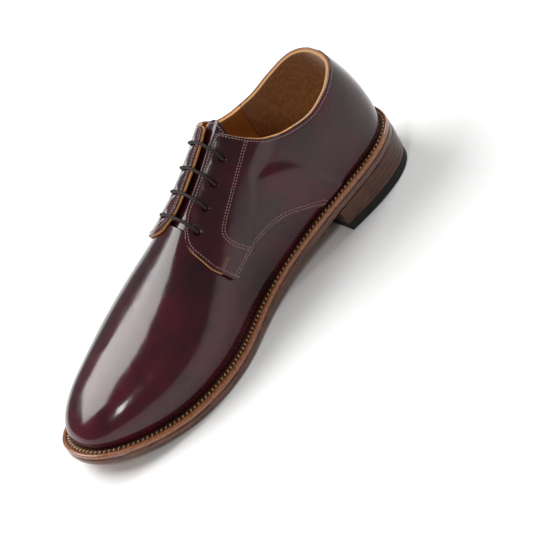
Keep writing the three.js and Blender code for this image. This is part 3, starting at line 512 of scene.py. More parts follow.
def bilinear(grid, i, j):
    i0 = np.clip(i.astype(int), 0, grid.shape[0] - 2)
    j0 = np.clip(j.astype(int), 0, grid.shape[1] - 2)
    a, b = i - i0, j - j0
    return (grid[i0, j0] * (1 - a) * (1 - b) + grid[i0 + 1, j0] * a * (1 - b) + grid[i0, j0 + 1] * (1 - a) * b
            + grid[i0 + 1, j0 + 1] * a * b)


def locate(side, s, q, kind="g"):
    """Surface points and normals at stations s and girths (g), rib lengths (f) or heights (z) q."""
    grid = GRIDS[1 if side > 0 else -1]
    s, q = np.broadcast_arrays(np.asarray(s, float), np.asarray(q, float))
    s, q = np.atleast_1d(s), np.atleast_1d(q)
    stations, other = grid["s"], grid[kind]
    cost = [np.argmin((stations - a) ** 2 + (other - b) ** 2) for a, b in zip(s, q)]
    i, j = (c.astype(float) for c in np.unravel_index(np.array(cost), stations.shape))
    for _ in range(12):
        h = 0.2
        ds, dq = s - bilinear(stations, i, j), q - bilinear(other, i, j)
        si = (bilinear(stations, i + h, j) - bilinear(stations, i - h, j)) / (2 * h)
        sj = (bilinear(stations, i, j + h) - bilinear(stations, i, j - h)) / (2 * h)
        qi = (bilinear(other, i + h, j) - bilinear(other, i - h, j)) / (2 * h)
        qj = (bilinear(other, i, j + h) - bilinear(other, i, j - h)) / (2 * h)
        det = si * qj - sj * qi
        det = np.where(np.abs(det) < 1e-9, 1e-9, det)
        i = np.clip(i + np.clip((ds * qj - dq * sj) / det, -3, 3), 0, stations.shape[0] - 1)
        j = np.clip(j + np.clip((dq * si - ds * qi) / det, -3, 3), 0, stations.shape[1] - 1)
    u = np.interp(i, np.arange(len(grid["u"])), grid["u"])
    t = np.interp(j, np.arange(len(grid["t"])), grid["t"])
    return surface(u, t), surface_normal(u, t)


# ------------------------------------------------------------------ pattern lines
def topline_height(s):
    return feather(s) + QUARTER_HEIGHT * table([[-0.1, 1.06], [0.1, 1.045], [0.32, 0.945], [0.45, 0.912],
                                                [0.64, 0.985], [0.8, 1.14], [0.88, 1.29], [0.94, 1.43],
                                                [1.0, 1.62], [1.03, 2.1]], s / FACING_TOP)


def flap_edge(s):
    return table([[FACING_TOP, 4.6], [FACING_TOP + 10, 3.4], [LAST_EYELET - 9, 4.0], [LAST_EYELET + 1, 6.4],
                  [LAST_EYELET + 6, 9]], s)


def flap_front(g):
    return LAST_EYELET + FLAP_MARGIN + table([[4, -10], [7, -6], [11, -2], [19, 0.5], [32, 0], [44, -4],
                                              [53, -7.5], [60, -13]], g)


FLAP_CORNER = LAST_EYELET + FLAP_MARGIN - 7.5
LACING_FROM, QUARTER_FRONT = 92, 172
MIDLINE_GAP = 0.06
FACING_ROW_END = 150


def seam_rise(s):
    return table([[0, -200], [0.3, -60], [0.45, -12], [0.49, 0], [0.58, 12], [0.65, 20], [0.74, 26],
                  [0.88, 30], [1.0, 30], [1.1, 34]], s / FLAP_CORNER)


def throat_line(g):
    return THROAT - table([[0, 0], [18, 1], [28, 5], [40, 9]], g)


def flap_outline(v):
    """Distance inside the quarter's free edge: topline, flap edge and flap front."""
    return soft_min([topline_height(v[:, S]) - v[:, 2], v[:, G] - flap_edge(v[:, S]),
                     flap_front(v[:, G]) - v[:, S]], 2.0)


def seam_distance(v):
    """Distance above the seam that joins the quarter to the vamp."""
    slope = seam_rise(v[:, S] + 0.5) - seam_rise(v[:, S] - 0.5)
    return (v[:, F] - seam_rise(v[:, S])) / np.sqrt(1 + slope ** 2)


def vamp_side(v):
    """Positive on the vamp, with its underlap below the quarters."""
    return np.maximum(v[:, S] - throat_line(v[:, G]), seam_rise(v[:, S]) + UNDERLAP - v[:, F])


def facing_seam(v):
    """Distance behind the seam that closes the facing."""
    across = v[:, G] - table([[80, 24.5], [98, 25.5], [116, 26.3], [134, 28], [145, 30]], v[:, S])
    along = table([[24, 143], [30, 142], [41, 139.5], [53, 134], [60, 131]], v[:, G]) - v[:, S]
    return soft_min([across, along], 2.5)


def flap_weight(v):
    """One on the lacing flap, which stands off the tongue, and none behind and below it."""
    reach = table([[LAST_EYELET - 50, FACING_HALF + 6], [LAST_EYELET - 16, 56]], v[:, S])
    return ease(1 - (v[:, G] - reach) / 15) * ease((v[:, S] - FACING_TOP + 40) / 26)


def quarter_inner(v):
    lap = ease(1 - (-vamp_side(v) - LENGTH / 12) / 12)
    flap = lerp(VAMP_IN, FLAP_IN + FACING_STACK, flap_weight(v))
    return soft_max(lerp(VAMP_IN, CLEARANCE, lap), flap, 0.5) - 0.12 * lap


def soft_max(a, b, width):
    return (a + b + np.sqrt((a - b) ** 2 + width ** 2)) / 2


def facing_inner(v):
    return lerp(VAMP_IN - CLEARANCE - STIFFENER, FLAP_IN, flap_weight(v))


def eyelet_station(i):
    return FACING_TOP + EYELET_FROM_TOP + i * EYELET_PITCH


def eyelet_girth(i):
    return EYELET_GIRTH + (1.5 if i == EYELETS - 1 else 0)


EYELET_AT = {side: locate(side, [eyelet_station(i) for i in range(EYELETS)],
                          [eyelet_girth(i) for i in range(EYELETS)])[0] for side in (1, -1)}


def eyelet_distance(v, side):
    gaps = np.linalg.norm(v[:, None, :3] - EYELET_AT[side][None], axis=2)
    return gaps.min(1)


# ------------------------------------------------------------------ from millimetres to the frame
def ring_outline(count):
    """Rail points round the outline with their outward directions; inner and outer points share stations."""
    inner = np.linspace(HEEL_U, TOE_U, count + 1)
    outer = outer_u(rail(inner[1:-1])[0])[::-1]
    u = np.concatenate([inner, outer])
    s, x, _ = rail(u)
    return s, x, outline_normal(u)


def welt_reach(s):
    return table([[0, 4.5], [0.38, 4.5], [0.52, 6], [0.66, 7.5], [1, 7.5]], s / LENGTH)


def frame_shift():
    """From the surface's own coordinates to the frame: the outsole's outline meets its box."""
    s, x, out = ring_outline(400)
    reach = welt_reach(s)
    px, py = x + out[:, 0] * reach, -s + out[:, 1] * reach
    low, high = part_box("outsole")
    return np.array([(low.x + high.x) / 2 / MM - (px.min() + px.max()) / 2,
                     (low.y + high.y) / 2 / MM - (py.min() + py.max()) / 2, 0.0])


SHIFT = frame_shift()


def world(points):
    return (np.asarray(points, float) + SHIFT) * MM


# ------------------------------------------------------------------ materials
WAVES_PER_UNIT = 0.314             # Wave texture scale that gives one band a unit


class Look:
    """A node material on a Principled shader, with a few helpers for procedural detail."""

    def __init__(self, name, color, roughness, **sockets):
        self.material = bpy.data.materials.new(name)
        self.material.use_nodes = True
        self.material.diffuse_color = (*color, 1)
        self.nodes = self.material.node_tree.nodes
        self.link = self.material.node_tree.links.new
        self.shader = self.nodes["Principled BSDF"]
        self.shader.inputs["Base Color"].default_value = (*color, 1)
        self.shader.inputs["Roughness"].default_value = roughness
        for socket, value in sockets.items():
            self.shader.inputs[socket.replace("_", " ")].default_value = value
        self.place = self.nodes.new("ShaderNodeTexCoord").outputs["Object"]
        self.height = None

    def stretched(self, scale):
        node = self.nodes.new("ShaderNodeMapping")
        node.inputs["Scale"].default_value = scale
        self.link(self.place, node.inputs["Vector"])
        return node.outputs["Vector"]

    def noise(self, size_mm, detail=3.0, place=None, rough=0.5):
        node = self.nodes.new("ShaderNodeTexNoise")
        node.inputs["Scale"].default_value = 1 / (size_mm * MM)
        node.inputs["Detail"].default_value = detail
        node.inputs["Roughness"].default_value = rough
        self.link(place or self.place, node.inputs["Vector"])
        return node.outputs["Fac"]

    def cells(self, size_mm):
        node = self.nodes.new("ShaderNodeTexVoronoi")
        node.inputs["Scale"].default_value = 1 / (size_mm * MM)
        self.link(self.place, node.inputs["Vector"])
        return node.outputs["Distance"]

    def waves(self, size_mm, axis, distortion):
        node = self.nodes.new("ShaderNodeTexWave")
        node.bands_direction = axis
        node.inputs["Scale"].default_value = WAVES_PER_UNIT / (size_mm * MM)
        node.inputs["Distortion"].default_value = distortion
        node.inputs["Detail"].default_value = 2.0
        self.link(self.place, node.inputs["Vector"])
        return node.outputs["Fac"]

    def spread(self, value, low, high, to_low=0.0, to_high=1.0):
        node = self.nodes.new("ShaderNodeMapRange")
        ends = {"From Min": low, "From Max": high, "To Min": to_low, "To Max": to_high}
        for socket, number in ends.items():
            node.inputs[socket].default_value = number
        self.link(value, node.inputs["Value"])
        return node.outputs["Result"]

    def blend(self, factor, a, b):
        node = self.nodes.new("ShaderNodeMix")
        node.data_type = "RGBA"
        self.link(factor, node.inputs["Factor"])
        for socket, color in ((6, a), (7, b)):
            if isinstance(color, tuple):
                node.inputs[socket].default_value = (*color, 1)
            else:
                self.link(color, node.inputs[socket])
        return node.outputs[2]

    def paint(self, color):
        self.link(color, self.shader.inputs["Base Color"])

    def roughen(self, value):
        self.link(value, self.shader.inputs["Roughness"])

    def bump(self, height, depth_mm, strength=1.0):
        node = self.nodes.new("ShaderNodeBump")
        node.inputs["Strength"].default_value = strength
        node.inputs["Distance"].default_value = depth_mm * MM
        self.link(height, node.inputs["Height"])
        if self.height is not None:
            self.link(self.height, node.inputs["Normal"])
        self.height = node.outputs["Normal"]
        self.link(self.height, self.shader.inputs["Normal"])


def upper_leather():
    look = Look("upper_leather", (0.03, 0.004, 0.008), 0.2, Coat_Weight=0.22, Coat_Roughness=0.08,
                Specular_IOR_Level=0.36)
    clouds = look.spread(look.noise(46, 3), 0.36, 0.66)
    dye = look.blend(clouds, (0.019, 0.0034, 0.0058), (0.060, 0.0040, 0.0105))
    look.paint(look.blend(look.spread(look.noise(17, 2), 0.45, 0.85), dye, (0.017, 0.003, 0.005)))
    look.roughen(look.spread(look.noise(8, 4), 0.3, 0.7, 0.13, 0.22))
    look.bump(look.noise(21, 1), 0.9, 0.6)
    look.bump(look.noise(6, 2), 0.07, 0.5)
    look.bump(look.cells(0.6), 0.012, 0.25)
    return look.material


def grained(name, base, roughness, grain, ends, colors, bump, stretch=None, **sockets):
    """A look with one grain. grain: size and detail; ends: the noise values that give the dark and the light
    colour; bump: depth and strength."""
    look = Look(name, base, roughness, **sockets)
    fibres = look.noise(*grain, look.stretched(stretch) if stretch else None)
    look.paint(look.blend(look.spread(fibres, *ends), *colors))
    look.bump(fibres, *bump)
    return look.material


def lining_leather():
    look = Look("lining_leather", (0.42, 0.17, 0.045), 0.38, Coat_Weight=0.15, Coat_Roughness=0.3)
    clouds = look.spread(look.noise(24, 4), 0.35, 0.68)
    tan = look.blend(clouds, (0.37, 0.13, 0.026), (0.56, 0.225, 0.055))
    pores = look.spread(look.cells(0.7), 0.0, 0.35)
    look.paint(look.blend(pores, (0.25, 0.085, 0.02), tan))
    look.roughen(look.spread(look.noise(4, 3), 0.3, 0.7, 0.3, 0.5))
    look.bump(look.cells(0.7), 0.035, 0.5)
    look.bump(look.noise(6, 3), 0.15, 0.4)
    return look.material


def suede():
    look = Look("suede", (0.26, 0.12, 0.042), 0.95, Sheen_Weight=0.25, Sheen_Roughness=0.5,
                Specular_IOR_Level=0.15)
    nap = look.spread(look.noise(2.6, 6, rough=0.75), 0.30, 0.70)
    look.paint(look.blend(nap, (0.19, 0.080, 0.023), (0.42, 0.19, 0.058)))
    look.bump(look.noise(0.32, 6, rough=0.7), 0.22, 0.9)
    return look.material


def sole_edge():
    look = Look("sole_edge", (0.22, 0.075, 0.03), 0.3, Coat_Weight=0.4, Coat_Roughness=0.2)
    layers = look.noise(0.5, 4, look.stretched((0.06, 0.06, 1.0)))
    base = look.blend(look.spread(layers, 0.35, 0.66), (0.052, 0.015, 0.007), (0.17, 0.052, 0.021))
    stains = look.spread(look.noise(14, 4), 0.45, 0.72)
    look.paint(look.blend(stains, base, (0.055, 0.017, 0.008)))
    look.roughen(look.spread(layers, 0.3, 0.7, 0.24, 0.42))
    look.bump(layers, 0.05, 0.6)
    return look.material


def sole_bottom():
    look = Look("sole_bottom", (0.30, 0.13, 0.055), 0.42, Coat_Weight=0.25, Coat_Roughness=0.25)
    clouds = look.spread(look.noise(30, 4), 0.35, 0.68)
    tan = look.blend(clouds, (0.24, 0.095, 0.038), (0.36, 0.16, 0.07))
    scuffs = look.spread(look.noise(1.6, 4, look.stretched((1.0, 0.12, 1.0))), 0.60, 0.78)
    look.paint(look.blend(scuffs, tan, (0.16, 0.065, 0.03)))
    look.roughen(look.spread(scuffs, 0.0, 1.0, 0.36, 0.62))
    look.bump(look.noise(0.5, 5), 0.05, 0.6)
    look.bump(scuffs, 0.06, -0.5)
    return look.material


def heel_leather():
    look = Look("heel_leather", (0.06, 0.022, 0.011), 0.34, Coat_Weight=0.12, Coat_Roughness=0.2,
                Specular_IOR_Level=0.35)
    layers = look.noise(0.45, 4, look.stretched((0.05, 0.05, 1.0)))
    base = look.blend(look.spread(layers, 0.35, 0.66), (0.034, 0.0105, 0.0042), (0.115, 0.035, 0.013))
    look.paint(look.blend(look.spread(look.noise(11, 3), 0.5, 0.75), base, (0.026, 0.010, 0.005)))
    look.bump(layers, 0.06, 0.7)
    return look.material


def woven(name, dark, light, size):
    look = Look(name, light, 0.85)
    across, along = look.waves(size, "X", 0.4), look.waves(size, "Y", 0.4)
    look.paint(look.blend(across, look.blend(along, dark, light), light))
    look.bump(across, 0.1, 0.6)
    look.bump(along, 0.1, 0.6)
    return look.material


def thread(name, dark, light):
    return grained(name, light, 0.6, (0.22, 3), (0.35, 0.65), (dark, light), (0.05, 0.7), Sheen_Weight=0.3)


def lace_cord():
    look = Look("lace_cord", (0.04, 0.022, 0.016), 0.6, Specular_IOR_Level=0.3)
    braid = look.cells(0.55)
    look.paint(look.blend(look.spread(braid, 0.05, 0.5), (0.048, 0.024, 0.016), (0.011, 0.0055, 0.004)))
    look.bump(braid, 0.1, -0.7)
    return look.material


def plain(name, dark, light, roughness, grain_mm, **sockets):
    return grained(name, light, roughness, (grain_mm, 4), (0.35, 0.68), (dark, light), (0.03, 0.5), **sockets)


UPPER, LINED, SUEDE, SOLE_EDGE = upper_leather(), lining_leather(), suede(), sole_edge()
SOLE_BOTTOM, HEEL, LACE = sole_bottom(), heel_leather(), lace_cord()
CUT = grained("cut_edge", (0.16, 0.06, 0.05), 0.55, (0.3, 5), (0.35, 0.65),
              ((0.09, 0.028, 0.028), (0.26, 0.12, 0.09)), (0.08, 0.7))
LINED_EDGE = grained("lining_edge", (0.60, 0.28, 0.08), 0.6, (0.28, 5), (0.3, 0.7),
                     ((0.46, 0.19, 0.05), (0.72, 0.37, 0.13)), (0.09, 0.7))
WELT_TOP = grained("welt_leather", (0.12, 0.045, 0.02), 0.38, (0.8, 5), (0.35, 0.7),
                   ((0.035, 0.012, 0.006), (0.11, 0.038, 0.016)), (0.06, 0.6),
                   Coat_Weight=0.3, Coat_Roughness=0.2)
WELT_RIM = grained("welt_rim", (0.42, 0.17, 0.07), 0.26, (1.1, 5), (0.35, 0.7),
                   ((0.19, 0.060, 0.022), (0.36, 0.130, 0.050)), (0.03, 0.5), (0.5, 0.5, 1.0),
                   Coat_Weight=0.5, Coat_Roughness=0.15)
RUBBER = grained("rubber", (0.012, 0.011, 0.01), 0.7, (0.6, 5), (0.35, 0.7),
                 ((0.006, 0.0055, 0.005), (0.015, 0.0135, 0.0125)), (0.06, 0.7), Specular_IOR_Level=0.3)
SUEDE_EDGE = plain("suede_edge", (0.30, 0.15, 0.05), (0.52, 0.29, 0.11), 0.9, 0.4, Sheen_Weight=0.4)
CANVAS = woven("canvas", (0.45, 0.40, 0.30), (0.72, 0.66, 0.52), 0.6)
CORK = plain("cork", (0.30, 0.18, 0.09), (0.62, 0.45, 0.28), 0.9, 1.2)
INSOLE_LEATHER = plain("insole_leather", (0.42, 0.27, 0.15), (0.66, 0.46, 0.29), 0.6, 2.0)
STEEL = plain("steel", (0.42, 0.42, 0.41), (0.60, 0.60, 0.58), 0.35, 1.0, Metallic=1.0)
EYELET = plain("eyelet_metal", (0.035, 0.022, 0.015), (0.075, 0.05, 0.035), 0.45, 1.0, Metallic=1.0)
TIP = plain("lace_tip", (0.02, 0.013, 0.011), (0.045, 0.03, 0.025), 0.2, 1.0, Coat_Weight=0.4)
THREAD = thread("upper_thread", (0.17, 0.075, 0.065), (0.36, 0.19, 0.165))
TACK_THREAD = thread("tack_thread", (0.09, 0.028, 0.024), (0.22, 0.088, 0.07))
WELT_THREAD = thread("welt_thread", (0.34, 0.20, 0.09), (0.66, 0.46, 0.25))
LINING_THREAD = thread("lining_thread", (0.22, 0.10, 0.04), (0.42, 0.22, 0.10))
# Near-black painted shade for the inside of the needle holes.
HOLE_SHADE = plain("needle_hole_shade", (0.004, 0.002, 0.002), (0.009, 0.004, 0.004), 0.8, 1.0)


# ------------------------------------------------------------------ making objects
def make(name, points, faces, looks, which=None, sharp=40.0):
    """An object from millimetre points and faces, in the frame's metres."""
    mesh = bpy.data.meshes.new(name)
    faces = [tuple(int(i) for i in face) for face in faces]
    mesh.from_pydata([tuple(p) for p in world(points)], [], faces)
    for look in looks:
        mesh.materials.append(look)
    if which is not None:
        mesh.polygons.foreach_set("material_index", np.asarray(which, np.int32))
    mesh.polygons.foreach_set("use_smooth", np.ones(len(mesh.polygons), bool))
    mesh.update()
    mesh.set_sharp_from_angle(angle=math.radians(sharp))
    piece = bpy.data.objects.new(name, mesh)
    bpy.context.scene.collection.objects.link(piece)
    return piece


def side_name(side):
    return "medial" if side > 0 else "lateral"


def face_outwards(mesh):
    bm = bmesh.new()
    bm.from_mesh(mesh)
    bmesh.ops.recalc_face_normals(bm, faces=bm.faces)
    bm.to_mesh(mesh)
    bm.free()


def stand_for(piece, nodes, body="shoe"):
    """Says which body a piece rides on and which nodes it replaces."""
    if body:
        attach(piece, body)
    if nodes:
        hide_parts(*nodes)
    return piece


def rounded(sheet, radius):
    """The sheet with rows of vertices along its cut edge, and each vertex's distance from that edge."""
    for row in (0.25 * radius, 0.6 * radius, 1.1 * radius):
        d = edge_distance(sheet, 3.0)
        (vertices, triangles), _ = split(sheet, d - row)
        sheet = compact(vertices, triangles)
    return sheet, edge_distance(sheet, 3.0)


def leather(name, sheet, inner, outer, looks, radius=0.5, fill=None):
    """A closed piece from a sheet. inner and outer give offsets; fill thickens it towards its free edge.
    looks: outer face, inner face, cut edge."""
    sheet, d = rounded(sheet, radius)
    vertices, triangles = sheet
    low, high = inner(vertices) + 0 * d, outer(vertices) + 0 * d
    if fill is not None:
        level, width, where = fill
        near = edge_distance(sheet, 3.0, where)
        high = lerp(high, level(vertices), ease(1.25 - near / width))
    drop = radius - np.sqrt(np.maximum(radius ** 2 - np.maximum(radius - d, 0) ** 2, 0))
    room = np.maximum(high - low, 0.1)
    drop = np.minimum(drop, room * 0.42)
    p, n = vertices[:, :3], unit(vertices[:, 3:6])
    count = len(vertices)
    points = np.concatenate([p + n * (high - drop)[:, None], p + n * (low + 0.6 * drop)[:, None]])
    edges = open_edges(triangles)
    walls = np.stack([edges[:, 0] + count, edges[:, 1] + count, edges[:, 1], edges[:, 0]], 1)
    faces = [*triangles.tolist(), *(triangles[:, ::-1] + count).tolist(), *walls.tolist()]
    which = [0] * len(triangles) + [1] * len(triangles) + [2] * len(walls)
    return make(name, points, faces, looks, which, 50)


def resample(points, pitch):
    """Even points along a polyline, as near a pitch as fits its length."""
    steps = np.linalg.norm(np.diff(points[:, :3], axis=0), axis=1)
    at = np.concatenate([[0], np.cumsum(steps)])
    count = max(2, int(round(at[-1] / pitch)) + 1)
    where = np.linspace(0, at[-1], count)
    return np.stack([np.interp(where, at, points[:, c]) for c in range(points.shape[1])], 1)


def stitch_shape(a, b, n, radius, lift, sink, sides=6, rings=5):
    """One stitch from hole to hole: a thread that rises out of the leather and dives back."""
    along = b - a
    length = np.linalg.norm(along)
    along = along / length
    n = unit(n - along * n.dot(along))
    across = np.cross(along, n)
    angles = np.arange(sides) / sides * 2 * math.pi
    points = []
    for k in range(rings):
        f = k / (rings - 1)
        bow = math.sin(math.pi * f)
        centre = a + along * length * (0.09 + 0.82 * f) + n * (lift * bow - sink * (1 - bow))
        r = radius * (0.62 + 0.38 * bow)
        points += [centre + (across * math.cos(w) + n * math.sin(w)) * r for w in angles]
    faces = [tuple(range(sides)), tuple(range((rings - 1) * sides, rings * sides))[::-1]]
    for k in range(rings - 1):
        for c in range(sides):
            d = (c + 1) % sides
            faces.append((k * sides + c, (k + 1) * sides + c, (k + 1) * sides + d, k * sides + d))
    return points, faces


class Batch:
    """Many small solids gathered in one object."""

    def __init__(self):
        self.points, self.faces = [], []

    def add(self, points, faces):
        start = len(self.points)
        self.points += [np.asarray(p, float) for p in points]
        self.faces += [tuple(start + i for i in face) for face in faces]

    def make(self, name, look, slot, body="shoe"):
        piece = make(name, np.array(self.points), self.faces, [look], None, 60)
        face_outwards(piece.data)
        return stand_for(piece, [], body)


def hole_shape(at, n, along, radius):
    """A shallow dimple where the needle went in; its near-black look is painted shade for the hole."""
    along = unit(along - n * along.dot(n))
    across = np.cross(n, along)
    turns = np.arange(8) / 8 * 2 * math.pi
    ring = [at + (along * math.cos(w) * 1.15 + across * math.sin(w)) * radius for w in turns]
    points = [p + n * 0.03 for p in ring] + [at - n * 0.25]
    faces = [tuple(range(8))] + [(i, 8, (i + 1) % 8) for i in range(8)]
    return points, faces


def sew(threads, holes, line, level, radius):
    """Stitches along a line of vertices at a level above the surface."""
    spots = resample(line, STITCH_PITCH)
    n = unit(spots[:, 3:6])
    p = spots[:, :3] + n * level(spots)[:, None]
    for i in range(len(p) - 1):
        threads.add(*stitch_shape(p[i], p[i + 1], n[i] + n[i + 1], radius, 0.16, 0.22))
    for i in range(len(p)):
        along = p[min(i + 1, len(p) - 1)] - p[max(i - 1, 0)]
        holes.add(*hole_shape(p[i], n[i], along, 0.40))


def sew_rows(threads, holes, rows, level, radius=UPPER_THREAD, inward=False):
    """Stitches along some lines, but for scraps. Inward rows lie on the face that looks into the shoe."""
    for row in rows:
        if len(row) <= SHORTEST_ROW:
            continue
        if inward:
            row = row.copy()
            row[:, 3:6] *= -1
        sew(threads, holes, row, level, radius)


# ------------------------------------------------------------------ upper
def constant(level):
    return lambda v: np.full(len(v), float(level))


def quarter_ribs():
    """Rib parameters for a quarter: close together under the lacing."""
    stations = np.concatenate([np.arange(-4, LACING_FROM, 1.9), np.arange(LACING_FROM, 168, 0.8)])
    u = np.linspace(HEEL_U, TOE_U, 4001)
    s = rail(u)[0]
    found = np.interp(stations, s, u)
    return np.unique(np.concatenate([[HEEL_U], found[stations > s[0] + 0.6]]))


def quarter_outer(side):
    def level(v):
        d = eyelet_distance(v, side)
        near = flap_outline(v)
        seam = seam_distance(v)
        facing = facing_seam(v)
        outer = quarter_inner(v) + THICK
        outer -= 0.55 * np.exp(-(d / 3.0) ** 2) - 0.16 * np.exp(-((d - 5.0) / 1.6) ** 2)
        pull = np.cos(2 * math.pi * (v[:, S] - eyelet_station(0)) / EYELET_PITCH)
        outer -= 0.24 * pull * np.exp(-((v[:, G] - EYELET_GIRTH - 2) / 7) ** 2)
        outer -= 0.13 * np.exp(-((near - EDGE_ROW) / 0.55) ** 2)
        for row in (EDGE_ROW, EDGE_ROW + ROW_GAP):
            outer -= 0.12 * np.exp(-((seam - row) / 0.5) ** 2)
        for row in (0, ROW_GAP):
            outer -= 0.12 * np.exp(-((facing - row) / 0.5) ** 2) * (near > EDGE_ROW)
        return outer
    return level


def quarter(side):
    name = side_name(side)
    net = side_net(side, quarter_ribs(), 84)
    cloth = keep(net, lambda v: QUARTER_FRONT - v[:, S])
    cloth = keep(cloth, lambda v: side * v[:, 0] - MIDLINE_GAP)
    cloth = keep(cloth, lambda v: v[:, F] - seam_rise(v[:, S]))
    cloth = keep(cloth, flap_outline)
    outer = quarter_outer(side)
    pierced = keep(cloth, lambda v: eyelet_distance(v, side) - HOLE_RADIUS)
    piece = leather(f"quarter_{name}", pierced, quarter_inner, outer, [UPPER, LINED, CUT], 0.55)
    stand_for(piece, [f"quarter_{name}"])

    threads, holes = Batch(), Batch()
    rows = contour(cloth, flap_outline(cloth[0]) - EDGE_ROW)
    inside = keep(keep(cloth, lambda v: flap_outline(v) - EDGE_ROW), lambda v: seam_distance(v) - 1)
    rows += contour(inside, seam_distance(inside[0]) - EDGE_ROW)
    rows += contour(inside, seam_distance(inside[0]) - EDGE_ROW - ROW_GAP)
    behind = keep(inside, lambda v: seam_distance(v) - EDGE_ROW - ROW_GAP)
    rows += contour(behind, facing_seam(behind[0]))
    rows += contour(behind, facing_seam(behind[0]) - ROW_GAP)
    sew_rows(threads, holes, rows, outer)
    bar_tack(side, outer)
    threads.make(f"stitching_{name}", THREAD, "upper_leather")
    holes.make(f"hole_shade_dimples_{name}", HOLE_SHADE, "upper_leather")


def spots_at(side, stations, girths):
    """Vertices, as in a sheet, at some stations and girths."""
    p, n = locate(side, stations, girths)
    total = np.zeros(len(p))
    grid = GRIDS[1 if side > 0 else -1]
    for k in range(len(p)):
        i = np.abs(grid["s"][:, -1] - stations[k]).argmin()
        total[k] = grid["f"][i, -1]
    return np.column_stack([p, n, stations, total - girths, girths, np.full(len(p), side)])


def bar_tack(side, outer):
    """Close stitches across the flap's lower corner, which takes the pull of the laces."""
    threads = Batch()
    stitches, front, pitch, lean = 13, 157.2, 0.72, 0.3
    girths = np.array([38.4, 41.8])
    for k in range(stitches):
        station = front - pitch * k
        ends = spots_at(side, np.array([station, station - lean]), girths)
        n = unit(ends[:, 3:6])
        p = ends[:, :3] + n * outer(ends)[:, None]
        threads.add(*stitch_shape(p[0], p[1], n[0], 0.36, 0.30, 0.1))
    threads.make(f"bar_tack_{side_name(side)}", TACK_THREAD, "upper_leather")


def free_edge(v):
    """True where an edge belongs to the topline or the flap's outline, not to a lining's own seam."""
    return flap_outline(v) < 0.6


def facing(side):
    name = side_name(side)
    net = side_net(side, quarter_ribs(), 70)
    cloth = keep(net, lambda v: v[:, S] - FACING_TOP + 22)
    cloth = keep(cloth, lambda v: table([[LAST_EYELET - 20, FACING_HALF], [LAST_EYELET - 10, 42]], v[:, S])
                 - v[:, G])
    cloth = keep(cloth, lambda v: flap_outline(v) + 0.12)
    pierced = keep(cloth, lambda v: eyelet_distance(v, side) - HOLE_RADIUS - 1.4)

    def outer(v):
        return facing_inner(v) + FACING_LINING

    def edge_level(v):
        return quarter_inner(v) - 0.08
    looks = [LINED_EDGE, LINED, LINED_EDGE]
    piece = leather(f"facing_lining_{name}", pierced, facing_inner, outer, looks, 0.35,
                    (edge_level, 1.1, free_edge))
    stand_for(piece, [f"facing_lining_{name}"])
    threads, holes = Batch(), Batch()
    inside = keep(cloth, lambda v: FACING_ROW_END - v[:, S])
    rows = contour(inside, flap_outline(inside[0]) - EDGE_ROW)
    sew_rows(threads, holes, rows, lambda v: -facing_inner(v), 0.22, inward=True)
    threads.make(f"facing_stitching_{name}", LINING_THREAD, "lining_leather")


def stay(side):
    """The canvas between a flap and its facing lining, kept inside the stitch rows."""
    name = f"facing_stay_{side_name(side)}"
    cloth = keep(side_net(side, quarter_ribs(), 60), lambda v: v[:, S] - FACING_TOP + 2)
    cloth = keep(cloth, lambda v: 26.5 - v[:, G])
    cloth = keep(cloth, lambda v: flap_outline(v) - 2.6)
    cloth = keep(cloth, lambda v: eyelet_distance(v, side) - HOLE_RADIUS - 0.5)

    def inner(v):
        return facing_inner(v) + FACING_LINING + CLEARANCE

    def outer(v):
        return inner(v) + STAY
    stand_for(leather(name, cloth, inner, outer, [CANVAS, CANVAS, CANVAS], 0.15), [name])


def vamp():
    cloth = keep(whole_net(190, 60), vamp_side)
    piece = leather("vamp", cloth, constant(VAMP_IN), constant(0), [UPPER, LINED, CUT], 0.5)
    stand_for(piece, ["vamp"])


def tongue():
    """The tongue, its lining and its stitches, rising from the seam under the throat."""
    def shape(inset):
        def test(v):
            return soft_min([TONGUE_HALF - inset - v[:, G], TONGUE_BASE - 2 * inset - v[:, S],
                             v[:, S] - TONGUE_TOP - inset - 0.012 * v[:, G] ** 2], 1.5)
        return test
    net = keep(whole_net(190, 76), lambda v: 40 - v[:, G])
    net = keep(net, lambda v: v[:, S] - 70)
    net = keep(net, lambda v: 175 - v[:, S])

    def outer(v):
        edge = shape(0)(v)
        return TONGUE_OUT - 0.1 * np.exp(-((edge - EDGE_ROW) / 0.5) ** 2)
    top = leather("tongue", keep(net, shape(0)), constant(TONGUE_IN), outer, [UPPER, LINED, CUT], 0.4)
    under = leather("tongue_lining", keep(net, shape(0.8)), constant(TONGUE_IN - CLEARANCE - TONGUE_LINING),
                    constant(TONGUE_IN - CLEARANCE), [LINED, LINED, LINED_EDGE], 0.25)
    threads, holes = Batch(), Batch()
    cloth = keep(net, shape(0))
    cloth = keep(cloth, lambda v: 118 - v[:, S])
    sew_rows(threads, holes, contour(cloth, shape(0)(cloth[0]) - EDGE_ROW), outer)
    sewn = threads.make("tongue_stitching", THREAD, "upper_leather", None)
    pricked = holes.make("tongue_needle_holes", HOLE_SHADE, "upper_leather", None)
    for piece, slot, nodes in ((top, "upper_leather", ["tongue"]),
                               (under, "lining_leather", ["tongue_lining"]),
                               (sewn, "upper_leather", []), (pricked, "upper_leather", [])):
        stand_for(piece, nodes, None)
        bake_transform(piece)


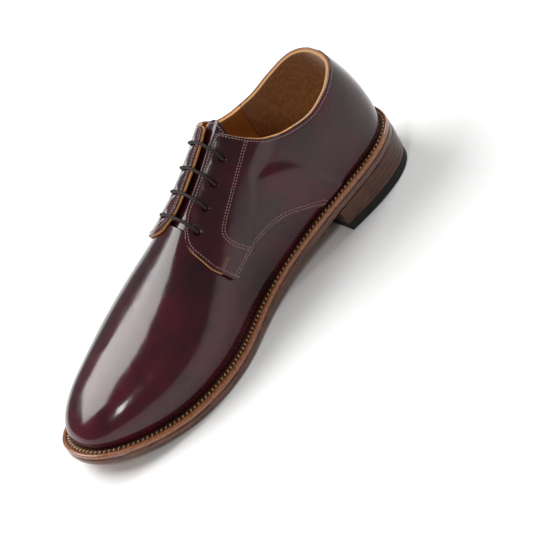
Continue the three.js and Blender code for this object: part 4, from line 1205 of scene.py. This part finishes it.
def linings():
    """The heel grip, the two side linings and the vamp lining, with the topline edges filled out."""
    def rim(v):
        return np.full(len(v), VAMP_IN - 0.1)

    def topline(v):
        return topline_height(v[:, S]) - v[:, 2] < 0.6
    grip = keep(whole_net(200, 60), lambda v: GRIP_END - v[:, S])
    grip = keep(grip, lambda v: topline_height(v[:, S]) - v[:, 2] + 0.15)
    piece = leather("heel_grip", grip, constant(LINING_IN), constant(LINING_OUT),
                    [SUEDE_EDGE, SUEDE, SUEDE_EDGE], 0.45, (rim, 2.0, topline))
    stand_for(piece, ["heel_grip"])
    for side, name in ((1, "medial"), (-1, "lateral")):
        net = side_net(side, quarter_ribs(), 60)
        cloth = keep(net, lambda v: v[:, S] - GRIP_END - 0.25)
        cloth = keep(cloth, lambda v: SIDE_LINING_END - v[:, S])
        cloth = keep(cloth, lambda v: v[:, G] - FACING_HALF - 0.4)
        cloth = keep(cloth, lambda v: topline_height(v[:, S]) - v[:, 2] + 0.12)
        piece = leather(f"quarter_lining_{name}", cloth, constant(LINING_IN), constant(LINING_OUT),
                        [LINED_EDGE, LINED, LINED_EDGE], 0.35, (rim, 1.6, topline))
        stand_for(piece, [f"quarter_lining_{name}"])
    net = keep(whole_net(150, 48), lambda v: v[:, S] - SIDE_LINING_END - 0.3)
    cloth = keep(net, lambda v: np.maximum(v[:, S] - FORE_LINING, v[:, G] - FACING_HALF - 1.5))
    piece = leather("vamp_lining", cloth, constant(LINING_IN), constant(LINING_OUT),
                    [LINED, LINED, LINED_EDGE], 0.3)
    stand_for(piece, ["vamp_lining"])
    lining_rows()


def lining_rows():
    """The topline row seen from inside, and the two rows beside the heel lining's front seam."""
    threads, holes = Batch(), Batch()
    for side in (1, -1):
        net = side_net(side, quarter_ribs(), 60)
        cloth = keep(net, lambda v: topline_height(v[:, S]) - v[:, 2])
        cloth = keep(cloth, lambda v: 88 - v[:, S])
        cloth = keep(cloth, lambda v: v[:, F] - 12)
        rows = contour(cloth, topline_height(cloth[0][:, S]) - cloth[0][:, 2] - EDGE_ROW)
        rows += contour(cloth, cloth[0][:, S] - GRIP_END + 1.3)
        sew_rows(threads, holes, rows, constant(-LINING_IN), 0.2, inward=True)
    threads.make("lining_stitching", LINING_THREAD, "lining_leather")


def back_tack():
    """Short stitches across the top of the back seam."""
    threads = Batch()
    t = np.linspace(0, 1, 801)
    seam = surface(HEEL_U, t)
    below_top = topline_height(-seam[:, 1]) - seam[:, 2]
    half = np.array([1.7, 0, 0])
    for k in range(5):
        row = np.abs(below_top - 1.3 - 0.8 * k).argmin()
        n = surface_normal(HEEL_U, t[row])
        centre = seam[row] + n * 0.12
        threads.add(*stitch_shape(centre - half, centre + half, n, 0.3, 0.16, 0.1))
    threads.make("back_tack", TACK_THREAD, "upper_leather")


# ------------------------------------------------------------------ lace
def lace_points():
    """The lace's route: four straight bars outside, its runs and tails inside the flaps."""
    def at(side, i, shift, level):
        p, n = locate(side, [eyelet_station(i)], [eyelet_girth(i) + shift])
        return p[0] + n[0] * level

    def bar(start, i):
        arc = [at(start, i, -inward, LACE_OUTSIDE) for inward in (1.5, 4.5, 8)]
        p, n = locate(start, [eyelet_station(i)], [0.01])
        centre = p[0] + n[0] * (LACE_OUTSIDE - 0.3)
        return [*arc, centre, *[at(-start, i, -inward, LACE_OUTSIDE) for inward in (8, 4.5, 1.5)]]

    def through(side, i):
        middle = (LACE_OUTSIDE + LACE_INSIDE) / 2
        return [at(side, i, -0.3, LACE_OUTSIDE - 0.3), at(side, i, 0, LACE_OUTSIDE - 1.4),
                at(side, i, 0, middle), at(side, i, 0, LACE_INSIDE + 1.3), at(side, i, 0, LACE_INSIDE + 0.2)]

    def run(side, first, last, bow):
        points = []
        for f in (0.08, 0.25, 0.5, 0.75, 0.92):
            station = lerp(eyelet_station(first), eyelet_station(last), f)
            girth = lerp(eyelet_girth(first), eyelet_girth(last), f) + bow * math.sin(math.pi * f)
            p, n = locate(side, [station], [girth])
            points.append(p[0] + n[0] * LACE_INSIDE)
        return points

    length = THROAT - TIP_SETBACK - TIP_LENGTH - eyelet_station(1)

    def tail(side, i, drift):
        points = []
        for f in (0.06, 0.35, 0.7, 1):
            p, n = locate(side, [eyelet_station(i) + length * f],
                          [eyelet_girth(i) + drift * math.sin(math.pi / 2 * f)])
            points.append(p[0] + n[0] * LACE_INSIDE)
        return points
    low = EYELETS - 1
    tail_a, tail_b = tail(-1, 0, 5), tail(-1, 1, -5.5)
    route = [*tail_b[::-1], *through(-1, 1)[::-1], *bar(-1, 1), *through(1, 1), *run(1, 1, low, 3.4),
             *through(1, low)[::-1], *bar(1, low), *through(-1, low), *run(-1, low, low - 1, 0),
             *through(-1, low - 1)[::-1], *bar(-1, low - 1), *through(1, low - 1), *run(1, low - 1, 0, -3.4),
             *through(1, 0)[::-1], *bar(1, 0), *through(-1, 0), *tail_a]
    return np.array(route), tail_a, tail_b


def smooth_path(points, step):
    """Catmull-Rom curve through points, resampled evenly."""
    p = np.concatenate([[2 * points[0] - points[1]], points, [2 * points[-1] - points[-2]]])
    fine = []
    for i in range(1, len(p) - 2):
        for f in np.linspace(0, 1, 10, endpoint=False):
            a, b, c, d = p[i - 1:i + 3]
            fine.append(0.5 * (2 * b + (c - a) * f + (2 * a - 5 * b + 4 * c - d) * f ** 2
                               + (3 * b - a - 3 * c + d) * f ** 3))
    fine.append(points[-1])
    return resample(np.array(fine), step)


def tube(name, path, radius_at, sides, looks):
    """A closed tube along a path; radius_at(distance, angle) gives its skin."""
    tangent = unit(np.gradient(path, axis=0))
    up = unit(np.cross(tangent[0], [0.3, 0.2, 1.0]))
    points = []
    travel = np.concatenate([[0], np.cumsum(np.linalg.norm(np.diff(path, axis=0), axis=1))])
    angles = np.arange(sides) / sides * 2 * math.pi
    for p, t, at in zip(path, tangent, travel):
        up = unit(up - t * up.dot(t))
        across = np.cross(t, up)
        points += [p + (up * math.cos(w) + across * math.sin(w)) * radius_at(at, w) for w in angles]
    rings = len(path)
    faces = [tuple(range(sides))[::-1], tuple(range((rings - 1) * sides, rings * sides))]
    for k in range(rings - 1):
        for c in range(sides):
            d = (c + 1) % sides
            faces.append((k * sides + c, k * sides + d, (k + 1) * sides + d, (k + 1) * sides + c))
    return make(name, np.array(points), faces, looks, None, 60)


def lace():
    route, tail_a, tail_b = lace_points()
    path = smooth_path(route, 0.34)

    def braid(at, angle):
        weave = math.cos(3 * angle + at * 2.6) * math.cos(3 * angle - at * 2.6)
        return LACE_RADIUS * (0.97 + 0.055 * weave)
    stand_for(tube("lace", path, braid, 18, [LACE]), ["lace"])
    for k, points in enumerate((tail_a, tail_b)):
        end, way = points[-1], unit(points[-1] - points[-2])
        spots = np.array([end + way * (CLEARANCE + f * TIP_LENGTH) for f in np.linspace(0, 1, 13)])

        def skin(at, angle):
            taper = min(1.0, (0.35 + at) / 0.7, (TIP_LENGTH + 0.25 - at) / 0.9)
            return LACE_RADIUS * 0.85 * (0.6 + 0.4 * taper)
        stand_for(tube(f"lace_tip_{k + 1}", spots, skin, 14, [TIP]), [f"lace_tip_{k + 1}"])


# ------------------------------------------------------------------ bottom
RING = 330                        # stations on each side


def outline_loop(outline, by):
    """Outline points moved outwards by a distance given by station, as seen from above."""
    s, x, out = outline
    reach = by(s)
    return np.stack([x + out[:, 0] * reach, -s + out[:, 1] * reach], -1)


def heel_loop(by, end):
    """The outline's back part, closed by a straight breast at a station."""
    outline = ring_outline(RING)
    loop = outline_loop(outline, by)
    kept = [k for k in range(RING) if outline[0][k] < HEEL_LENGTH - 4]
    inner = [loop[k] for k in kept]
    outer = [loop[len(loop) - k] for k in kept if k > 0]
    corners = []
    for before, last in (inner[-2:], outer[-2:]):
        onward = (-end - last[1]) / (last[1] - before[1])
        corners.append(last + (last - before) * onward)
    breast = [lerp(*corners, f) for f in np.linspace(0, 1, 17)]
    return np.array(outer[::-1] + inner + breast)


def sweep(name, loops, looks, which, sharp=35, columns=14):
    """A closed body: loops of points from low to high, with capped ends. which gives a look for each band,
    then for the low cap and the high cap."""
    count = len(loops[0])
    points = np.concatenate(loops)
    faces, marks = [], []
    for k in range(len(loops) - 1):
        for i in range(count):
            j = (i + 1) % count
            faces.append((k * count + i, k * count + j, (k + 1) * count + j, (k + 1) * count + i))
            marks.append(which[k])
    mesh = bpy.data.meshes.new(name)
    bm = bmesh.new()
    verts = [bm.verts.new(tuple(p)) for p in world(points)]
    for face, mark in zip(faces, marks):
        bm.faces.new([verts[i] for i in face]).material_index = mark
    for start, mark in ((0, which[-2]), ((len(loops) - 1) * count, which[-1])):
        cap_rows(bm, verts[start:start + count], mark, columns)
    bmesh.ops.recalc_face_normals(bm, faces=bm.faces)
    for face in bm.faces:
        face.smooth = True
    bm.to_mesh(mesh)
    bm.free()
    for look in looks:
        mesh.materials.append(look)
    mesh.set_sharp_from_angle(angle=math.radians(sharp))
    piece = bpy.data.objects.new(name, mesh)
    bpy.context.scene.collection.objects.link(piece)
    return piece


def cap_rows(bm, ring, mark, columns):
    """Fills a loop with strips across it, from its own vertices paired by station, as far as the toe or
    the breast."""
    n = len(ring)
    start = max(range(n), key=lambda k: ring[k].co.y)
    i, j = (start + 1) % n, (start - 1) % n
    previous = [ring[start]]
    while (j - i) % n > 1 and abs(ring[(i + 1) % n].co.y - ring[i].co.y) > 1e-7:
        a, b = ring[i].co, ring[j].co
        cells = columns if (a - b).length > 0.004 else 1
        row = [ring[i]] + [bm.verts.new(a.lerp(b, f / cells)) for f in range(1, cells)] + [ring[j]]
        join_rows(bm, previous, row, mark)
        previous = row
        i, j = (i + 1) % n, (j - 1) % n
    join_rows(bm, previous, [ring[(i + k) % n] for k in range((j - i) % n + 1)], mark)


def join_rows(bm, one, two, mark):
    """Triangles and quads between two rows of vertices that may have different counts."""
    i = j = 0
    while i < len(one) - 1 or j < len(two) - 1:
        a, b = len(one) - 1, len(two) - 1
        if i < a and j < b and a == b:
            face = (one[i], one[i + 1], two[j + 1], two[j])
            i, j = i + 1, j + 1
        elif j >= b or (i < a and (i + 1) / max(a, 1) <= (j + 1) / max(b, 1)):
            face = (one[i], one[i + 1], two[j])
            i += 1
        else:
            face = (one[i], two[j + 1], two[j])
            j += 1
        bm.faces.new(face).material_index = mark


def welt():
    """The welt: a stitched, wheeled channel beside the upper and a rounded rim outside it."""
    outline = ring_outline(3 * RING)
    mid = outline_loop(outline, lambda q: 0.5 * welt_reach(q))
    travel = np.concatenate([[0], np.cumsum(np.linalg.norm(np.diff(mid, axis=0), axis=1))])
    total = travel[-1] + np.linalg.norm(mid[0] - mid[-1])
    count = round(total / WELT_PITCH)
    wave = 0.5 + 0.5 * np.cos(2 * math.pi * travel / total * count)
    # Share of the reach, height from the welt's top, how much of the wheel's mark it takes.
    section = [(-0.9, -WELT + 0.05, 0), (0.90, -WELT + 0.05, 0), (0.985, -WELT + 0.25, 0),
               (1.0, -WELT + 0.7, 0),
               (1.01, -2.0, 0), (1.0, -1.15, 0), (0.975, -0.6, 0), (0.93, -0.22, 0), (0.86, -0.02, 0),
               (0.77, 0.10, 0), (0.70, 0.04, 0), (0.65, -0.14, 0), (0.62, -0.42, 0.2), (0.57, -0.42, 0.8),
               (0.46, -0.32, 1), (0.32, -0.30, 1), (0.20, -0.36, 0.8), (0.12, -0.52, 0.2), (0.0, -0.6, 0),
               (-0.9, -0.5, 0)]
    loops = []
    for share, dz, marked in section:
        loop = outline_loop(outline, lambda q, share=share: share * welt_reach(q))
        z = welt_top(-loop[:, 1]) + dz - 0.30 * marked * (1 - wave)
        loops.append(np.column_stack([loop, z]))
    points = np.concatenate(loops)
    n = len(mid)
    faces, which = [], []
    for k in range(len(section)):
        j = (k + 1) % len(section)
        for i in range(n):
            m = (i + 1) % n
            faces.append((k * n + i, k * n + m, j * n + m, j * n + i))
            which.append(1 if 2 <= k <= 10 else 0)
    piece = make("welt", points, faces, [WELT_TOP, WELT_RIM], which, 60)
    face_outwards(piece.data)
    stand_for(piece, ["welt"])
    welt_stitches(outline, travel, total, count)


def welt_stitches(outline, travel, total, count):
    """One stitch to each mark of the wheel."""
    threads = Batch()
    inner = outline_loop(outline, lambda q: 0.22 * welt_reach(q))
    outer = outline_loop(outline, lambda q: 0.56 * welt_reach(q))
    for k in range(count):
        where = (k + 0.5) / count * total
        a = np.array([np.interp(where - 0.75, travel, inner[:, c]) for c in (0, 1)])
        b = np.array([np.interp(where + 0.75, travel, outer[:, c]) for c in (0, 1)])
        high = [float(welt_top(-p[1])) - 0.42 for p in (a, b)]
        threads.add(*stitch_shape(np.array([*a, high[0]]), np.array([*b, high[1]]), np.array([0, 0, 1.0]),
                                  0.50, 0.34, 0.15))
    threads.make("welt_stitching", WELT_THREAD, "welt_leather")


def outsole():
    outline = ring_outline(RING)

    def loop(inset, low_share, dz=0.0):
        flat = outline_loop(outline, lambda q: welt_reach(q) - inset)
        s = -flat[:, 1]
        return np.column_stack([flat, underside(s) + OUTSOLE * low_share + dz])
    loops = [loop(9.0, 0.0), loop(1.6, 0.0), loop(0.75, 0.02), loop(0.25, 0.10), loop(0.0, 0.26),
             loop(-0.08, 0.5), loop(0.0, 0.72), loop(0.22, 0.90), loop(0.7, 1.0, 0.12), loop(9.0, 1.0)]
    bands = [0, 0, 1, 1, 1, 1, 1, 1, 1, 0, 1]
    piece = sweep("outsole", loops, [SOLE_BOTTOM, SOLE_EDGE], bands)
    stand_for(piece, ["outsole"])
    sole_channel(outline)


def sole_channel(outline):
    """The closed channel that hides the sole stitching: a fine ridge round the forepart's underside."""
    flat = outline_loop(outline, lambda q: welt_reach(q) - 6.5)
    path = np.column_stack([flat, underside(-flat[:, 1]) + 0.02])
    front = path[-path[:, 1] > HEEL_LENGTH + 5]
    forepart_middle = 150
    order = np.argsort(np.unwrap(np.arctan2(front[:, 0], front[:, 1] + forepart_middle)))
    line = resample(front[order][::3], 1.2)

    def skin(at, angle):
        return 0.16
    piece = tube("sole_channel", line, skin, 8, [SOLE_EDGE])
    stand_for(piece, [])


def drill(piece, places, radius, top):
    """Real holes for the heel nails, cut once and applied."""
    for at in places:
        bpy.ops.mesh.primitive_cylinder_add(vertices=24, radius=radius * MM, depth=2 * top * MM,
                                            location=(at[0], at[1], 0))
        cutter = bpy.context.object
        modifier = piece.modifiers.new("hole", "BOOLEAN")
        modifier.operation = "DIFFERENCE"
        modifier.object = cutter
        bpy.context.view_layer.update()
        evaluated = piece.evaluated_get(bpy.context.evaluated_depsgraph_get())
        mesh = bpy.data.meshes.new_from_object(evaluated)
        piece.modifiers.clear()
        piece.data = mesh
        bpy.data.objects.remove(cutter)


def heel():
    """The top lift and the leather lifts, tapered and level at the bottom, cut to the sole's slope."""
    bottom = TOP_LIFT + CLEARANCE

    def level(i):
        return lambda s: lerp(bottom, underside(s), i / LIFT_COUNT)
    nails = [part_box(f"heel_nail_{k}") for k in range(1, 6)]
    places = [((low.x + high.x) / 2, (low.y + high.y) / 2) for low, high in nails]
    nail_top = max(high.z for _, high in nails) / MM
    for i in range(-1, LIFT_COUNT):
        name = "top_lift" if i < 0 else f"heel_lift_{i + 1}"
        low = (lambda s: 0 * s) if i < 0 else level(i)
        high = (lambda s: 0 * s + TOP_LIFT) if i < 0 else (lambda s, i=i: level(i + 1)(s) - 0.06)
        share = (i + 1) / LIFT_COUNT
        reach = float(welt_reach(0)) - HEEL_TAPER * (1 - share)
        end = HEEL_LENGTH - 1.5 * (1 - share)
        loops = []
        for inset, rise in ((0.35, 0.0), (0.1, 0.05), (0.0, 0.16), (0.0, 0.5), (0.0, 0.84), (0.1, 0.95),
                            (0.35, 1.0)):
            flat = heel_loop(lambda q, inset=inset: 0 * q + reach - inset, end - inset)
            s = -flat[:, 1]
            loops.append(np.column_stack([flat, lerp(low(s), high(s), rise)]))
        piece = sweep(name, loops, [RUBBER if i < 0 else HEEL], [0] * 8)
        if low(35.0) < nail_top:
            drill(piece, places, NAIL_HEAD + CLEARANCE, nail_top + 1.5)
        stand_for(piece, [name])


def sock():
    """The sock lining, at a set height above the feather line."""
    outline = ring_outline(RING)
    base = -LINING_IN + CLEARANCE + INSOLE + CLEARANCE
    reach = LINING_IN - 5 * CLEARANCE

    def loop(inset, dz):
        flat = outline_loop(outline, lambda q: 0 * q + reach - inset)
        return np.column_stack([flat, feather(-flat[:, 1]) + base + dz])
    loops = [loop(3, 0), loop(0.3, 0), loop(0, 0.3), loop(0, SOCK - 0.3), loop(0.3, SOCK), loop(3, SOCK)]
    piece = sweep("sock_lining", loops, [LINED], [0] * 7)
    stand_for(piece, ["sock_lining"])


# ------------------------------------------------------------------ pieces that stay as they are
def dress_frame():
    looks = {"insole": INSOLE_LEATHER, "cork_filler": CORK, "shank": STEEL, "toe_puff": CANVAS,
             "heel_counter": CANVAS, "vamp_interlining": CANVAS, "insole_rib": CANVAS}
    for name, node in frame["nodes"].items():
        look = looks.get(name)
        if name.startswith("heel_nail"):
            look = STEEL
        if name.startswith("blind_eyelet"):
            look = EYELET
        if look is not None:
            node.data.materials.clear()
            node.data.materials.append(look)


# ------------------------------------------------------------------ light and camera
def area_light(name, at, aim, size, power):
    data = bpy.data.lights.new(name, "AREA")
    data.shape = "RECTANGLE"
    data.size, data.size_y = size
    data.energy = power
    lamp = bpy.data.objects.new(name, data)
    lamp.location = at
    lamp.rotation_mode = "QUATERNION"
    lamp.rotation_quaternion = (Vector(aim) - Vector(at)).to_track_quat("-Z", "Y")
    bpy.context.scene.collection.objects.link(lamp)


def studio():
    bpy.ops.mesh.primitive_grid_add(x_subdivisions=8, y_subdivisions=8, size=8, location=(0, 0, -0.0006))
    floor = bpy.context.object
    floor.name = "floor"
    look = Look("studio_floor", (0.88, 0.88, 0.87), 0.7)
    floor.data.materials.append(look.material)
    scene = bpy.context.scene
    scene.world = bpy.data.worlds.new("studio")
    scene.world.use_nodes = True
    backdrop = scene.world.node_tree.nodes["Background"]
    backdrop.inputs["Color"].default_value = (0.97, 0.985, 1.0, 1)
    backdrop.inputs["Strength"].default_value = 0.24
    scene.view_settings.view_transform = "Standard"
    area_light("key", (-0.85, -0.45, 1.2), (0, -0.05, 0.03), (1.2, 1.0), 28)
    area_light("rear", (-0.1, 1.4, 1.1), (0, 0.05, 0.05), (0.9, 0.4), 15)
    area_light("front", (1.2, -1.2, 1.5), (0, -0.05, 0.03), (0.4, 0.5), 12)


def camera():
    """The photograph's view: seen from the inner side and above, with the shoe tilted in the frame."""
    azimuth, elevation, roll = (math.radians(a) for a in (69.57, 35.22, -35.18))
    distance, lens, sensor = 3.427, 349.0, 36.0
    aside, below = -0.0133, -0.0058      # aim off the target, as tangents
    back = Vector((math.sin(azimuth) * math.cos(elevation), -math.cos(azimuth) * math.cos(elevation),
                   math.sin(elevation)))
    right = Vector((math.cos(azimuth), math.sin(azimuth), 0))
    up = back.cross(right)
    across = right * math.cos(roll) + up * math.sin(roll)
    upright = up * math.cos(roll) - right * math.sin(roll)
    target_station, target_height = 0.144, 0.05
    target = Vector((SHIFT[0] * MM, SHIFT[1] * MM - target_station, target_height))
    forward = (-back - across * aside + upright * below).normalized()
    across = (across - forward * across.dot(forward)).normalized()
    upright = across.cross(forward)
    data = bpy.data.cameras.new("camera")
    data.lens, data.sensor_width = lens, sensor
    data.clip_start, data.clip_end = 0.1, 50
    view = bpy.data.objects.new("camera", data)
    matrix = Matrix((across, upright, -forward)).transposed().to_4x4()
    matrix.translation = target + back * distance
    view.matrix_world = matrix
    bpy.context.scene.collection.objects.link(view)
    bpy.context.scene.camera = view


vamp()
for foot_side in (1, -1):
    quarter(foot_side)
    facing(foot_side)
    stay(foot_side)
tongue()
linings()
back_tack()
lace()
welt()
outsole()
heel()
sock()
dress_frame()
studio()
camera()
